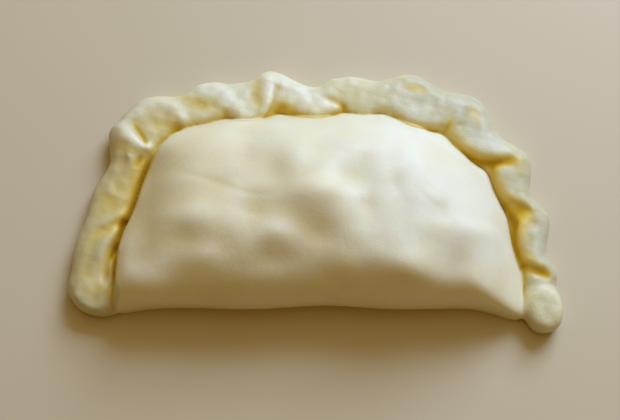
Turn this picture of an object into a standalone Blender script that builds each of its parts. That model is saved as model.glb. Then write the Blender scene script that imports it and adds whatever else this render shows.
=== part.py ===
"""A raw empanada lying flat: a filled half-moon pocket of dough with a folded rope crimp.

The round disc of dough is folded over its filling along a nearly straight front fold.
Its curved edge is sealed by pleats that are folded inwards one after the other, so each
pleat ends in a raised lip on top of the next one. The whole is one piece of dough.

Sizes are in millimetres until the mesh is made, in metres. X runs along the front fold,
Y from the fold to the crimped edge, Z up from the ground. The origin ends up under the
centre of the dough, on the ground.
"""

import math

import bmesh
import bpy
import numpy as np

NODE = "empanada"
METRES = 0.001

# Driving sizes of the filled pocket.
POCKET_HEIGHT = 26.0          # top of the filling above the ground
FRONT_EQUATOR = 10.0          # height at which the front fold bulges out furthest
RIM_EQUATOR = 4.0             # height at which the pocket meets the crimped edge
FRONT_LINE = -25.6            # where the front fold bulges to
POCKET_CENTRE = (0.0, -3.0)
POCKET_INSET = 4.5            # the pocket ends this far inside the middle of the crimp
FRONT_RISE = 22.0             # the skin rises over this far from the front fold
RIM_RISE = 33.0               # and over this far from the crimp
RIM_POWER = 0.9               # 0.5 rises steeply from the crimp like a round section
EQUATOR_BLEND = 15.0          # the widest height rises over this far from the crimp's ends
FRONT_TUCK = 5.0              # how far the front fold curls in under itself
FRONT_WAVE = 0.45
RIGHT_FLARE = 2.6             # the fold is pulled outwards at its two ends
LEFT_FLARE = 1.0
BELOW_GROUND = 1.5            # everything is made this much too deep, then cut level

# The middle of the crimped edge in plan, clockwise from the left end of the fold.
CRIMP_PATH = (
    (-58.5, -24.5), (-59.3, -12.5), (-55.2, 3.5), (-50.3, 16.8), (-42.5, 28.2),
    (-29.5, 32.3), (-10.0, 33.8), (12.0, 34.2), (29.5, 31.3), (43.5, 22.3),
    (52.5, 8.5), (57.0, -7.0), (60.0, -26.5),
)

EDGE_ROUNDING = 3.6           # height over which the edge of the crimp rounds off
LOBE_ROUNDING = 4.6
OUTER_TUCK = 0.4              # how far the crimp's outer foot draws in under it
INNER_ROOT = 2.5              # how far its inner foot reaches in below the pocket
LIP_WIDTH = 0.7               # length over which a lip drops to the next pleat
RAMP_POWER = 1.5              # how late a pleat climbs towards its lip
LIP_SAG = 0.25                # share of the climb that the lip itself sags back by
SWELL_POWER = 1.4             # how plump a pleat is where it has no lip
THUMB_PLACE = (0.5, 0.1)      # where the thumb print is, along the pleat and across it
THUMB_SIZE = (0.2, 0.5)

# How far the crimp reaches outwards and inwards, as station and reach, at each turn of its edge.
OUTER_EDGE = (
    (-1.0, 4.4), (6.5, 5.6), (12.0, 4.7), (23.0, 5.1), (40.5, 4.2), (47.0, 8.1), (50.0, 7.0),
    (52.5, 7.4), (61.3, 2.8), (71.6, 5.3), (77.0, 4.0), (86.6, 7.2), (100.0, 1.8), (109.6, 5.0),
    (115.8, 3.8), (124.5, 7.2), (131.6, 5.6), (140.8, 8.2), (149.2, 4.5), (157.2, 7.6),
    (166.0, 3.8), (174.8, 6.3), (181.0, 3.1), (188.8, 4.9), (192.0, 4.0), (201.0, 4.6),
)
INNER_EDGE = (
    (-1.0, 5.2), (12.0, 5.2), (30.0, 6.6), (41.0, 5.8), (46.0, 6.2), (53.0, 4.8), (64.0, 7.4),
    (67.5, 7.0), (69.5, 7.2), (75.0, 5.4), (80.5, 8.8), (90.2, 4.8), (99.5, 8.8), (107.8, 4.8),
    (112.0, 6.4), (119.0, 4.8), (128.0, 8.8), (140.0, 5.0), (147.5, 7.2), (158.0, 5.0),
    (164.0, 5.6), (172.0, 4.9), (179.0, 5.7), (189.0, 4.8), (201.0, 5.6),
)

# One row a pleat, clockwise. Columns:
#   lead      station of its leading edge, which lies on top of the next pleat
#   lean      how far the outer end of that edge is ahead of its middle
#   low       height where it comes out from under the pleat before
#   lip       height of its leading edge
#   sharp     how much of the lip's drop is left at the outer end, from 0 to 1
#   cup       depth of the thumb print on top
PLEATS = (
    (4.5, 0.0, 7.2, 7.8, 0.5, 0.0),
    (21.0, -5.0, 7.2, 8.6, 0.3, 0.2),
    (36.0, -2.0, 7.4, 8.6, 0.1, 0.8),
    (49.0, 1.6, 7.8, 10.2, 0.8, 0.2),
    (62.0, -0.9, 7.8, 10.2, 0.6, 0.3),
    (75.2, -2.0, 7.6, 10.2, 0.4, 1.2),
    (86.6, 1.2, 8.0, 11.2, 1.0, 1.3),
    (104.0, -3.0, 7.4, 10.8, 0.2, 0.3),
    (118.2, -1.0, 8.0, 10.0, 0.1, 0.2),
    (137.2, -2.0, 8.0, 10.8, 0.3, 1.3),
    (156.6, 2.6, 8.0, 10.8, 0.8, 0.9),
    (171.6, 4.2, 7.6, 10.4, 0.8, 0.4),
    (186.6, 2.6, 7.4, 9.8, 0.8, 0.3),
    (196.5, 0.0, 7.0, 7.2, 0.3, 0.0),
)
CRIMP_START = 2.5             # station at which the band comes out of the left lobe

LOBE_SQUARENESS = 2.3         # 2 is an ellipse in plan
LOBE_FULLNESS = 2.5           # 2 is a half circle in section
LOBE_TUCK = 0.14              # share of its size by which a lobe draws in at its foot

# The lobes in which the crimp ends, and a torn nub on its left bend: place, long axis,
# half sizes and height.
LOBES = (
    ((-58.1, -22.1), -8.0, 6.9, 5.2, 8.6),
    ((59.5, -25.2), 98.0, 6.6, 5.1, 9.4),
    ((-46.6, 19.6), -38.0, 3.6, 1.9, 11.4),
)

# Lumps of filling and the hollows between them: place, half sizes along X and Y, height.
FILLING_LUMPS = (
    ((2.1, 0.4), (7.0, 4.6), 1.7),
    ((-0.5, -5.2), (6.0, 3.0), -0.7),
    ((-8.4, -10.8), (6.0, 4.4), 1.4),
    ((-32.8, -5.2), (7.5, 4.8), 1.5),
    ((-31.5, -11.0), (6.0, 3.4), -0.7),
    ((-29.0, -16.7), (7.0, 4.2), 0.8),
    ((9.4, -8.8), (6.0, 4.2), 1.1),
    ((22.4, -16.7), (7.0, 4.6), 1.4),
    ((38.9, -15.2), (6.0, 4.2), -1.0),
    ((42.9, -21.8), (5.0, 3.6), 0.6),
    ((-9.4, 10.6), (3.6, 7.5), -0.9),
    ((12.9, 11.9), (5.0, 6.5), -0.7),
)

# Facets.
POCKET_SEGMENTS = 84
POCKET_RINGS = (15, 5)
PLEAT_ROWS = 8
CRIMP_COLUMNS = 14
LOBE_SEGMENTS = 26
LOBE_RINGS = (6, 2)


def smooth_path(points, count):
    """Return stations and places along a Catmull-Rom curve through the points."""
    keys = np.array(points)
    keys = np.vstack([2 * keys[0] - keys[1], keys, 2 * keys[-1] - keys[-2]])
    pieces = []
    for index in range(1, len(keys) - 2):
        before, start, end, after = keys[index - 1:index + 3]
        t = np.linspace(0.0, 1.0, 40, endpoint=False)[:, None]
        pieces.append(0.5 * (
            2 * start
            + (end - before) * t
            + (2 * before - 5 * start + 4 * end - after) * t ** 2
            + (3 * start - before - 3 * end + after) * t ** 3
        ))
    curve = np.vstack(pieces + [keys[-2:-1]])
    steps = np.linalg.norm(np.diff(curve, axis=0), axis=1)
    travelled = np.concatenate([[0.0], np.cumsum(steps)])
    stations = np.linspace(0.0, travelled[-1], count)
    places = [np.interp(stations, travelled, curve[:, axis]) for axis in (0, 1)]
    return stations, np.stack(places, axis=1)


CRIMP_STATIONS, CRIMP_PLACES = smooth_path(CRIMP_PATH, 800)
CRIMP_HEADINGS = np.gradient(CRIMP_PLACES, axis=0)
CRIMP_HEADINGS /= np.linalg.norm(CRIMP_HEADINGS, axis=1)[:, None]


def along_crimp(station, outward):
    """Turn a station along the crimp and a distance outside it into x and y."""
    s = np.clip(station, 0.0, CRIMP_STATIONS[-1])
    beyond = station - s
    x, y, along_x, along_y = (
        np.interp(s, CRIMP_STATIONS, column)
        for column in (*CRIMP_PLACES.T, *CRIMP_HEADINGS.T)
    )
    return x + beyond * along_x - outward * along_y, y + beyond * along_y + outward * along_x


def closed_mesh(name, rings, top, bottom):
    """Make a closed mesh of rings of points, from below the top pole to above the bottom one.

    rings has the shape (rings, segments, 3), with the segments running anticlockwise.
    """
    ring_count, segments = rings.shape[:2]
    points = np.vstack([rings.reshape(-1, 3), [top, bottom]]) * METRES
    here = np.arange(segments)
    after = np.roll(here, -1)
    faces = []
    for ring in range(ring_count - 1):
        upper = ring * segments
        lower = upper + segments
        faces += np.stack([upper + here, lower + here, lower + after, upper + after], 1).tolist()
    last = (ring_count - 1) * segments
    top_index = ring_count * segments
    faces += [[a, b, top_index] for a, b in zip(here.tolist(), after.tolist())]
    faces += [[last + b, last + a, top_index + 1] for a, b in zip(here.tolist(), after.tolist())]
    mesh = bpy.data.meshes.new(name)
    mesh.from_pydata(points.tolist(), [], faces)
    mesh.validate()
    return mesh


def profile(rings, fullness):
    """Return reach and rise, from near the pole to the widest ring, of a rounded section.

    Both are shares from 0 to 1; a fullness of 2 gives a quarter of a circle.
    """
    angle = np.linspace(0.0, math.pi / 2, rings + 1)[1:]
    return np.sin(angle) ** (2 / fullness), np.cos(angle)


def rounded_square(segments, fullness):
    """Return the two coordinates, from -1 to 1, of points around a square with round corners."""
    angle = np.linspace(0.0, 2 * math.pi, segments, endpoint=False)
    power = 2 / fullness
    along = np.sign(np.cos(angle)) * np.abs(np.cos(angle)) ** power
    across = np.sign(np.sin(angle)) * np.abs(np.sin(angle)) ** power
    return along, across


def add_object(name, mesh, collection):
    """Link a mesh as an object in a collection and return the object."""
    obj = bpy.data.objects.new(name, mesh)
    collection.objects.link(obj)
    return obj


def scallops(knots, station):
    """Return the reach at each station, eased like a wave from one knot to the next."""
    places, reaches = np.array(knots).T
    index = np.clip(np.searchsorted(places, station) - 1, 0, len(places) - 2)
    t = np.clip((station - places[index]) / (places[index + 1] - places[index]), 0.0, 1.0)
    return reaches[index] + (reaches[index + 1] - reaches[index]) * (0.5 - 0.5 * np.cos(math.pi * t))


def crimp_grid(rows, columns):
    """Return station, side and height of the top of the crimp: rows along it, columns across.

    side runs from -1 at the inner edge to 1 at the outer edge. The rows follow each
    pleat's leading edge, so that its lip stays sharp.
    """
    side = np.sin(np.linspace(-math.pi / 2, math.pi / 2, columns))
    tau = 0.5 - 0.5 * np.cos(np.linspace(0.0, math.pi, rows))
    tau, side = np.meshgrid(tau, side, indexing="ij")
    stations, heights, sides = [], [], []
    start = np.full_like(side, CRIMP_START)
    for lead, lean, low, lip, sharp, cup in PLEATS:
        end = lead + lean * side
        stations.append(start + (end - start) * tau)
        crisp = 1 + (sharp - 1) * (side + 1) / 2
        ramp = np.sin(tau * math.pi / 2) ** RAMP_POWER - LIP_SAG * tau ** 12
        swell = np.sin(tau * math.pi) ** SWELL_POWER
        thumb = cup * np.exp(-((tau - THUMB_PLACE[0]) / THUMB_SIZE[0]) ** 2
                             - ((side - THUMB_PLACE[1]) / THUMB_SIZE[1]) ** 2)
        heights.append(low + (lip - low) * (crisp * ramp + (1 - crisp) * swell) - thumb)
        sides.append(side)
        start = end + LIP_WIDTH
    return np.vstack(stations), np.vstack(sides), np.vstack(heights)


def add_crimp(collection):
    """Add the folded crimp as one closed band along its path, with a cap at each end."""
    station, side, height = crimp_grid(PLEAT_ROWS, CRIMP_COLUMNS)
    outer = scallops(OUTER_EDGE, station)
    inner = -scallops(INNER_EDGE, station)
    outward = (outer + inner) / 2 + (outer - inner) / 2 * side
    x, y = along_crimp(station, outward)
    rise = np.sqrt(1 - np.abs(side) ** 3)
    z = height - EDGE_ROUNDING * (1 - rise)
    foot = outward[:, [-1, 0]] + np.array([-OUTER_TUCK, -INNER_ROOT])
    foot_x, foot_y = along_crimp(station[:, [-1, 0]], foot)
    x = np.hstack([x, foot_x])
    y = np.hstack([y, foot_y])
    z = np.hstack([z, np.full_like(foot_x, -BELOW_GROUND)])
    points = np.stack([x, y, z], axis=2)
    sections, corners = x.shape
    faces = []
    for section in range(sections - 1):
        for corner in range(corners):
            following = (corner + 1) % corners
            here = section * corners
            faces.append((here + corner, here + following,
                          here + corners + following, here + corners + corner))
    faces.append(tuple(reversed(range(corners))))
    faces.append(tuple(range((sections - 1) * corners, sections * corners)))
    mesh = bpy.data.meshes.new("crimp")
    mesh.from_pydata((points.reshape(-1, 3) * METRES).tolist(), [], faces)
    mesh.validate()
    return add_object("crimp", mesh, collection)


def add_lobe(index, row, collection):
    """Add a rounded lobe of the crimp."""
    (centre_x, centre_y), heading, half_length, half_width, height = row
    cosine = math.cos(math.radians(heading))
    sine = math.sin(math.radians(heading))
    along, across = rounded_square(LOBE_SEGMENTS, LOBE_SQUARENESS)
    layers = []
    for reach, rise in zip(*profile(LOBE_RINGS[0], LOBE_FULLNESS)):
        layers.append((along * reach, across * reach, height - LOBE_ROUNDING * (1 - rise)))
    widest = height - LOBE_ROUNDING
    for step in range(1, LOBE_RINGS[1] + 1):
        sink = step / LOBE_RINGS[1]
        shrink = 1 - LOBE_TUCK * sink
        layers.append((along * shrink, across * shrink, widest * (1 - sink) - BELOW_GROUND * sink))
    rings = []
    for along_ring, across_ring, z in layers:
        u = along_ring * half_length
        v = across_ring * half_width
        x = centre_x + u * cosine - v * sine
        y = centre_y + u * sine + v * cosine
        rings.append(np.stack([x, y, np.full_like(x, z)], axis=1))
    top = (centre_x, centre_y, height)
    bottom = (centre_x, centre_y, -BELOW_GROUND)
    mesh = closed_mesh("lobe_%d" % index, np.array(rings), top, bottom)
    return add_object("lobe_%d" % index, mesh, collection)


def front_line(x):
    """Return the y to which the front fold bulges out, at each x."""
    waves = FRONT_WAVE * np.sin(x / 6.6 + 1.2) * np.exp(-(x / 45.0) ** 2)
    flare = RIGHT_FLARE * np.exp(-((x - 55.0) / 8.0) ** 2)
    flare += LEFT_FLARE * np.exp(-((x + 56.0) / 6.0) ** 2)
    return FRONT_LINE + waves - flare


def pocket_outline(segments):
    """Return the bearing and distance of the pocket's edge, seen from its centre."""
    stations = np.linspace(CRIMP_STATIONS[-1], 0.0, 600)
    rim_x, rim_y = along_crimp(stations, np.full_like(stations, -POCKET_INSET))
    front_x = np.linspace(rim_x[-1], rim_x[0], 400)[1:-1]
    x = np.concatenate([rim_x, front_x, rim_x[:1]]) - POCKET_CENTRE[0]
    y = np.concatenate([rim_y, front_line(front_x), rim_y[:1]]) - POCKET_CENTRE[1]
    travelled = np.concatenate([[0.0], np.cumsum(np.hypot(np.diff(x), np.diff(y)))])
    even = np.linspace(0.0, travelled[-1], segments, endpoint=False)
    x = np.interp(even, travelled, x)
    y = np.interp(even, travelled, y)
    return np.arctan2(y, x), np.hypot(x, y)


def distance_to_crimp(x, y):
    """Return a rounded distance to the crimp path, exact beside it and smooth far from it.

    It sums one over the fourth power of the distance to each short step of the path.
    Beside a straight path that sum is pi / 2 over the cube of the distance.
    """
    every = 4
    step = CRIMP_STATIONS[every]
    near = 0.0
    for place_x, place_y in CRIMP_PLACES[::every]:
        near = near + step / ((x - place_x) ** 2 + (y - place_y) ** 2 + 0.01) ** 2
    return (math.pi / 2 / near) ** (1 / 3)


def pocket_top(x, y):
    """Return the height of the pocket's upper skin: a front rise times a rise from the rim."""
    from_front = np.clip((y - front_line(x)) / FRONT_RISE, 0.0, 1.0)
    from_rim = np.clip((distance_to_crimp(x, y) - POCKET_INSET) / RIM_RISE, 0.0, 1.0)
    front = np.sqrt(1 - (1 - from_front) ** 2)
    rim = (1 - (1 - from_rim) ** 2.2) ** RIM_POWER
    away = np.clip(from_rim * RIM_RISE / EQUATOR_BLEND, 0.0, 1.0)
    low = RIM_EQUATOR + (FRONT_EQUATOR - RIM_EQUATOR) * away ** 2 * (3 - 2 * away)
    return low + (POCKET_HEIGHT - low) * front * rim + lump_height(x, y) * (front * rim) ** 2


def add_pocket(collection):
    """Add the filled pocket: a closed skin over its outline, with the filling's lumps."""
    bearing, edge = pocket_outline(POCKET_SEGMENTS)
    cosine = np.cos(bearing)
    sine = np.sin(bearing)
    layers = []
    for angle in np.linspace(0.0, math.pi / 2, POCKET_RINGS[0] + 1)[1:]:
        distance = edge * math.sin(angle) ** 0.9
        x = POCKET_CENTRE[0] + distance * cosine
        y = POCKET_CENTRE[1] + distance * sine
        layers.append(np.stack([x, y, pocket_top(x, y)], axis=1))
    edge_z = layers[-1][:, 2]
    for step in range(1, POCKET_RINGS[1] + 1):
        sink = step / POCKET_RINGS[1]
        tuck = FRONT_TUCK * (1 - math.sqrt(1 - 0.9 * sink ** 2)) * edge_z / FRONT_EQUATOR
        x = POCKET_CENTRE[0] + (edge - tuck) * cosine
        y = POCKET_CENTRE[1] + (edge - tuck) * sine
        z = edge_z * (1 - sink) - BELOW_GROUND * sink
        layers.append(np.stack([x, y, z], axis=1))
    x, y = POCKET_CENTRE
    top = (x, y, float(pocket_top(np.array(x), np.array(y))))
    mesh = closed_mesh("pocket", np.array(layers), top, (x, y, -BELOW_GROUND))
    return add_object("pocket", mesh, collection)


def lump_height(x, y):
    """Return how far the filling lifts or lets down the dough at a place."""
    height = 0.0
    for (centre_x, centre_y), (half_x, half_y), rise in FILLING_LUMPS:
        height = height + rise * np.exp(-((x - centre_x) / half_x) ** 2 - ((y - centre_y) / half_y) ** 2)
    return height


def fuse(pieces, target):
    """Join the pieces to the target object by one Boolean union, then drop them."""
    union = target.modifiers.new("fuse", "BOOLEAN")
    union.operation = "UNION"
    union.solver = "EXACT"
    union.operand_type = "COLLECTION"
    union.collection = pieces
    bpy.context.view_layer.update()
    evaluated = target.evaluated_get(bpy.context.evaluated_depsgraph_get())
    fused = bpy.data.meshes.new_from_object(evaluated)
    target.modifiers.clear()
    target.data = fused
    for obj in list(pieces.objects):
        bpy.data.objects.remove(obj)
    bpy.data.collections.remove(pieces)


def cut_level(mesh):
    """Cut the mesh off flat at the ground and close the cut."""
    shape = bmesh.new()
    shape.from_mesh(mesh)
    everything = shape.verts[:] + shape.edges[:] + shape.faces[:]
    cut = bmesh.ops.bisect_plane(shape, geom=everything, dist=1e-7, plane_co=(0, 0, 0),
                                 plane_no=(0, 0, -1), clear_outer=True)
    rim = [item for item in cut["geom_cut"] if isinstance(item, bmesh.types.BMEdge)]
    bmesh.ops.contextual_create(shape, geom=rim)
    bmesh.ops.recalc_face_normals(shape, faces=shape.faces[:])
    shape.to_mesh(mesh)
    shape.free()


def centre_on_origin(mesh):
    """Move the mesh so that the origin is the middle of the bottom of its box."""
    points = np.empty(len(mesh.vertices) * 3, dtype=np.float32)
    mesh.vertices.foreach_get("co", points)
    points = points.reshape(-1, 3)
    middle = (points.min(axis=0) + points.max(axis=0)) / 2
    middle[2] = points[:, 2].min()
    mesh.vertices.foreach_set("co", (points - middle).ravel())
    mesh.update()


def raw_dough():
    """Return the pale raw dough material."""
    material = bpy.data.materials.new("raw_dough")
    material.use_nodes = True
    shader = material.node_tree.nodes["Principled BSDF"]
    shader.inputs["Base Color"].default_value = (0.78, 0.72, 0.50, 1.0)
    shader.inputs["Roughness"].default_value = 0.5
    shader.inputs["Metallic"].default_value = 0.0
    return material


def main():
    """Build the empanada as one closed solid."""
    for obj in list(bpy.data.objects):
        bpy.data.objects.remove(obj)
    scene_collection = bpy.context.scene.collection
    dough = add_pocket(scene_collection)
    dough.name = NODE
    pieces = bpy.data.collections.new("crimp")
    scene_collection.children.link(pieces)
    add_crimp(pieces)
    for index, row in enumerate(LOBES):
        add_lobe(index, row, pieces)
    fuse(pieces, dough)
    cut_level(dough.data)
    centre_on_origin(dough.data)
    dough.data.materials.append(raw_dough())
    dough.data.shade_smooth()
    dough.data.set_sharp_from_angle(angle=math.radians(50))
    print(NODE, "faces", len(dough.data.polygons), "size mm",
          [round(side / METRES, 1) for side in dough.dimensions])


main()
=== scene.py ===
# %% [markdown]
# # A raw empanada
#
# The object is one piece of raw wheat dough, folded over a filling and closed by a crimp of
# hand-made pleats. This notebook first loads the plain solid that the physics uses, then
# makes a much finer skin for it with numpy, gives that skin a dough material, and lights it.

# %% Load the plain solid
import math

import bmesh
import bpy
import numpy as np
from mathutils import Matrix, Vector


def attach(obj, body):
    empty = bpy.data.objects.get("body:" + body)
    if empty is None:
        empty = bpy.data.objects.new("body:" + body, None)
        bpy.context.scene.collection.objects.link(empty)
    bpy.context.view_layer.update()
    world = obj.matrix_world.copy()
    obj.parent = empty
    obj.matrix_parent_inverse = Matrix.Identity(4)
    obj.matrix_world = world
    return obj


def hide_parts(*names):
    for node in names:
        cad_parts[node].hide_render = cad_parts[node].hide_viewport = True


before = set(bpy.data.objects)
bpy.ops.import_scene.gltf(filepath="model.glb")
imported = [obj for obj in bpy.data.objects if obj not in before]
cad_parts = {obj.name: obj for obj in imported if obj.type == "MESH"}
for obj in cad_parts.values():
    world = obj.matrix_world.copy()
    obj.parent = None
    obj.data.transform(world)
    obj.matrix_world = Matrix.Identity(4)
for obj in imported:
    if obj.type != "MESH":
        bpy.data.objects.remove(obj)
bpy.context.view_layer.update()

# %% [markdown]
# ## Drawing the dough
#
# Sizes are written in millimetres in a drawing frame, because a cook's hands work in
# millimetres: X runs along the folded edge, Y from the fold towards the crimp, Z up. The
# drawing's own origin lies a little off the middle of the solid, so one shift takes every
# point into the shared frame.

# %% Sizes of the pocket
METRES = 0.001
DRAWING_SHIFT = (0.15, -4.53, 0.0)   # where the drawing's origin is in the shared frame, mm

POCKET_HEIGHT = 26.0          # top of the filling above the floor
FRONT_EQUATOR = 10.0          # height at which the front fold bulges out furthest
RIM_EQUATOR = 4.0             # height at which the pocket goes in under the crimp
FRONT_LINE = -25.6            # where the front fold bulges to
POCKET_CENTRE = (0.0, -3.0)
POCKET_INSET = 5.5            # the pocket ends about this far inside the middle of the crimp
FRONT_RISE = 22.0             # the skin rises over this far from the front fold
RIM_RISE = 33.0               # and over this far from the crimp
RIM_POWER = 0.85              # 0.5 would rise steeply from the crimp like a round section
RIM_FLATTENING = 2.2          # how quickly that rise levels out on top
EQUATOR_BLEND = 15.0          # the two equators change into each other over this distance
FRONT_TUCK = 5.0              # how far the front fold curls in under itself
FRONT_WAVE = 0.45             # the fold waves in and out by this much,
FRONT_WAVE_PITCH = 6.6        # over this distance for each radian,
FRONT_WAVE_PHASE = 1.2        # from this phase in the middle,
FRONT_WAVE_FADE = 45.0        # and the waves die out over this distance from it
BELOW_FLOOR = 1.5             # everything is made this much too deep, then cut level
# The fold is pulled outwards at its two ends: place in x, half width and pull.
FLARES = ((55.0, 8.0, 2.6), (-56.0, 6.0, 1.0))
print("pocket", POCKET_HEIGHT, "mm high")

# %% [markdown]
# ## The path of the crimp
#
# The crimp follows the curved edge of the folded disc. A Catmull-Rom curve runs through
# thirteen points of it. A place on the crimp is then given by two numbers: its station, the
# distance along the curve from the left end, and how far outside the curve it lies. In these
# two numbers the crimp is a straight strip, and its pleats are easy to draw.

# %% The path of the crimp
CRIMP_PATH = (
    (-58.5, -24.5), (-59.3, -12.5), (-55.2, 3.5), (-50.3, 16.8), (-42.5, 28.2), (-29.5, 32.3),
    (-10.0, 33.8), (12.0, 34.2), (29.5, 31.3), (43.5, 22.3), (52.5, 8.5), (57.0, -7.0), (60.0, -26.5),
)
PATH_SPACING = 0.25           # distance between the places that are kept on the path
CURVE_STEPS = 24              # steps of a curve between two of its points, before it is measured out


def smooth_line(points, spacing):
    """Return places a given distance apart on a Catmull-Rom curve through the points.

    Between two points the curve is the cubic that passes through both, with a slope at each
    that is half the step from its neighbour before to its neighbour after.
    """
    keys = np.array(points, dtype=float)
    keys = np.vstack([2 * keys[0] - keys[1], keys, 2 * keys[-1] - keys[-2]])
    t = np.linspace(0.0, 1.0, CURVE_STEPS, endpoint=False)[None, :, None]
    before, start, end, after = (keys[i:len(keys) - 3 + i][:, None, :] for i in range(4))
    curve = 0.5 * (2 * start + (end - before) * t
                   + (2 * before - 5 * start + 4 * end - after) * t ** 2
                   + (3 * start - before - 3 * end + after) * t ** 3)
    curve = np.vstack([curve.reshape(-1, keys.shape[1]), keys[-2:-1]])
    steps = np.linalg.norm(np.diff(curve[:, :2], axis=0), axis=1)
    travelled = np.concatenate([[0.0], np.cumsum(steps)])
    count = max(2, int(round(travelled[-1] / spacing)) + 1)
    even = np.linspace(0.0, travelled[-1], count)
    places = [np.interp(even, travelled, column) for column in curve.T]
    return even, np.stack(places, axis=1)


CRIMP_STATIONS, CRIMP_PLACES = smooth_line(CRIMP_PATH, PATH_SPACING)
CRIMP_HEADINGS = np.gradient(CRIMP_PLACES, axis=0)
CRIMP_HEADINGS /= np.linalg.norm(CRIMP_HEADINGS, axis=1)[:, None]
CRIMP_LENGTH = CRIMP_STATIONS[-1]
print("crimp", round(CRIMP_LENGTH, 1), "mm long")

# %% To and from the crimp's own coordinates
def along_crimp(station, outward):
    """Turn a station along the crimp and a distance outside it into x and y.

    The place is the point of the path at that station, plus the distance times the path's
    left normal. Beyond either end the path goes straight on.
    """
    s = np.clip(station, 0.0, CRIMP_LENGTH)
    beyond = station - s
    x, y, along_x, along_y = (
        np.interp(s, CRIMP_STATIONS, column)
        for column in (*CRIMP_PLACES.T, *CRIMP_HEADINGS.T)
    )
    return x + beyond * along_x - outward * along_y, y + beyond * along_y + outward * along_x


def crimp_coordinates(x, y):
    """Turn x and y into station and outward distance: the nearest path point, then its tangent."""
    station = np.empty_like(x)
    outward = np.empty_like(x)
    block = 6000
    for start in range(0, len(x), block):
        here = slice(start, start + block)
        dx = x[here, None] - CRIMP_PLACES[None, ::2, 0]
        dy = y[here, None] - CRIMP_PLACES[None, ::2, 1]
        nearest = 2 * np.argmin(dx ** 2 + dy ** 2, axis=1)
        heading = CRIMP_HEADINGS[nearest]
        step_x = x[here] - CRIMP_PLACES[nearest, 0]
        step_y = y[here] - CRIMP_PLACES[nearest, 1]
        station[here] = CRIMP_STATIONS[nearest] + step_x * heading[:, 0] + step_y * heading[:, 1]
        outward[here] = step_y * heading[:, 0] - step_x * heading[:, 1]
    return station, outward

# %% [markdown]
# ## The plain forms under the pleats
#
# Before any pleat is drawn, the crimp is a flat band with a rounded edge, the pocket is a
# dome that rises from the crimp and from the front fold, and each end has a rounded lobe.
# Each of these is a height over the floor as a function of the place, so that the same
# formula can make a mesh and later tell how far a point of the mesh has to move.

# %% Plain forms: the band of the crimp
EDGE_ROUNDING = 3.6           # height over which the edge of the crimp rounds off
OUTER_POWER = 3.0             # how square its section is at the outer edge,
INNER_POWER = 4.5             # and at the inner one, under the lips
OUTER_TUCK = 0.4              # how far the crimp's outer foot draws in under it
INNER_ROOT = 2.5              # how far its inner foot reaches in below the pocket
ROOT_INNER = 6.8              # how far inside the path the hidden root of the band lies
ROOT_LEVEL = 3.4              # and how high that root is
BAND_OVERLAP = 0.4            # the band goes on this far past the seam, in under the pocket
SEAM_OVERLAP = 1.2            # the pocket starts this far outside the seam, below the crimp
SEAM_FADE = 6.0               # distance from the path over which the seam's turns fade out
CRIMP_START = 2.5             # station at which the band comes out of the left lobe
CRIMP_END = 196.5

# How far the crimp reaches outwards, as station and reach, at each turn of its edge.
OUTER_EDGE = (
    (-1.0, 4.9), (5.0, 6.8), (10.5, 5.6), (14.5, 5.8), (22.5, 5.3), (30.0, 5.9), (38.0, 4.4),
    (47.0, 8.7), (50.5, 8.0), (54.0, 7.5), (63.5, 3.3), (69.5, 5.7), (72.0, 5.7), (77.0, 4.6),
    (81.0, 4.9), (87.0, 7.8), (99.8, 2.6), (105.5, 5.0), (109.8, 5.5), (116.0, 4.6), (125.2, 7.8),
    (132.2, 6.1), (140.8, 8.6), (150.2, 4.8), (158.6, 7.8), (168.0, 3.7), (174.0, 6.5), (183.8, 3.4),
    (189.2, 5.2), (192.4, 4.3), (195.8, 5.2), (201.0, 4.6),
)
# Where the crimp's inner edge meets the pocket: station and distance inside the path.
SEAM = (
    (-1.0, 5.0), (5.0, 6.0), (12.0, 6.2), (16.5, 5.6), (21.0, 5.5), (28.0, 6.4), (36.0, 6.0),
    (44.0, 5.5), (48.0, 5.4), (53.0, 6.0), (60.0, 6.5), (67.0, 6.8), (74.5, 5.6), (81.0, 7.9),
    (85.0, 7.0), (89.5, 5.0), (93.0, 6.0), (100.0, 7.8), (105.0, 6.4), (107.5, 5.2), (113.0, 6.3),
    (118.0, 5.0), (122.0, 6.0), (128.0, 7.8), (134.0, 6.9), (138.5, 5.5), (145.0, 6.5), (151.0, 5.8),
    (157.0, 4.0), (164.0, 4.8), (170.0, 4.2), (180.0, 4.8), (187.0, 4.0), (192.0, 4.2), (201.0, 4.4),
)
# The level of the band before its pleats, as station and height.
BAND_LEVEL = (
    (-1.0, 6.8), (12.0, 7.0), (30.0, 6.4), (48.0, 7.4), (75.0, 7.2), (100.0, 7.2), (125.0, 7.4),
    (150.0, 7.4), (175.0, 7.2), (190.0, 7.0), (201.0, 6.8),
)


def eased(knots, at):
    """Return the value at each place, eased by half a cosine wave from one knot to the next."""
    places, values = np.array(knots).T
    index = np.clip(np.searchsorted(places, at) - 1, 0, len(places) - 2)
    t = np.clip((at - places[index]) / (places[index + 1] - places[index]), 0.0, 1.0)
    return values[index] + (values[index + 1] - values[index]) * (0.5 - 0.5 * np.cos(math.pi * t))


def band_top(station, outward):
    """Return the band's height: its level, less a rounding towards its two edges.

    The rounding is one less the root of 1 - side ** power, where side is 0 in the middle of the
    band and 1 at its edges. The power is higher, and the rounding tighter, at the inner edge.
    """
    outer = eased(OUTER_EDGE, station)
    inner = eased(SEAM, station) + BAND_OVERLAP
    side = (outward - (outer - inner) / 2) / ((outer + inner) / 2)
    power = np.where(side > 0, OUTER_POWER, INNER_POWER)
    rise = np.sqrt(np.clip(1 - np.abs(side) ** power, 0.0, 1.0))
    return np.where(np.abs(side) < 1, eased(BAND_LEVEL, station) - EDGE_ROUNDING * (1 - rise), 0.0)

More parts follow.
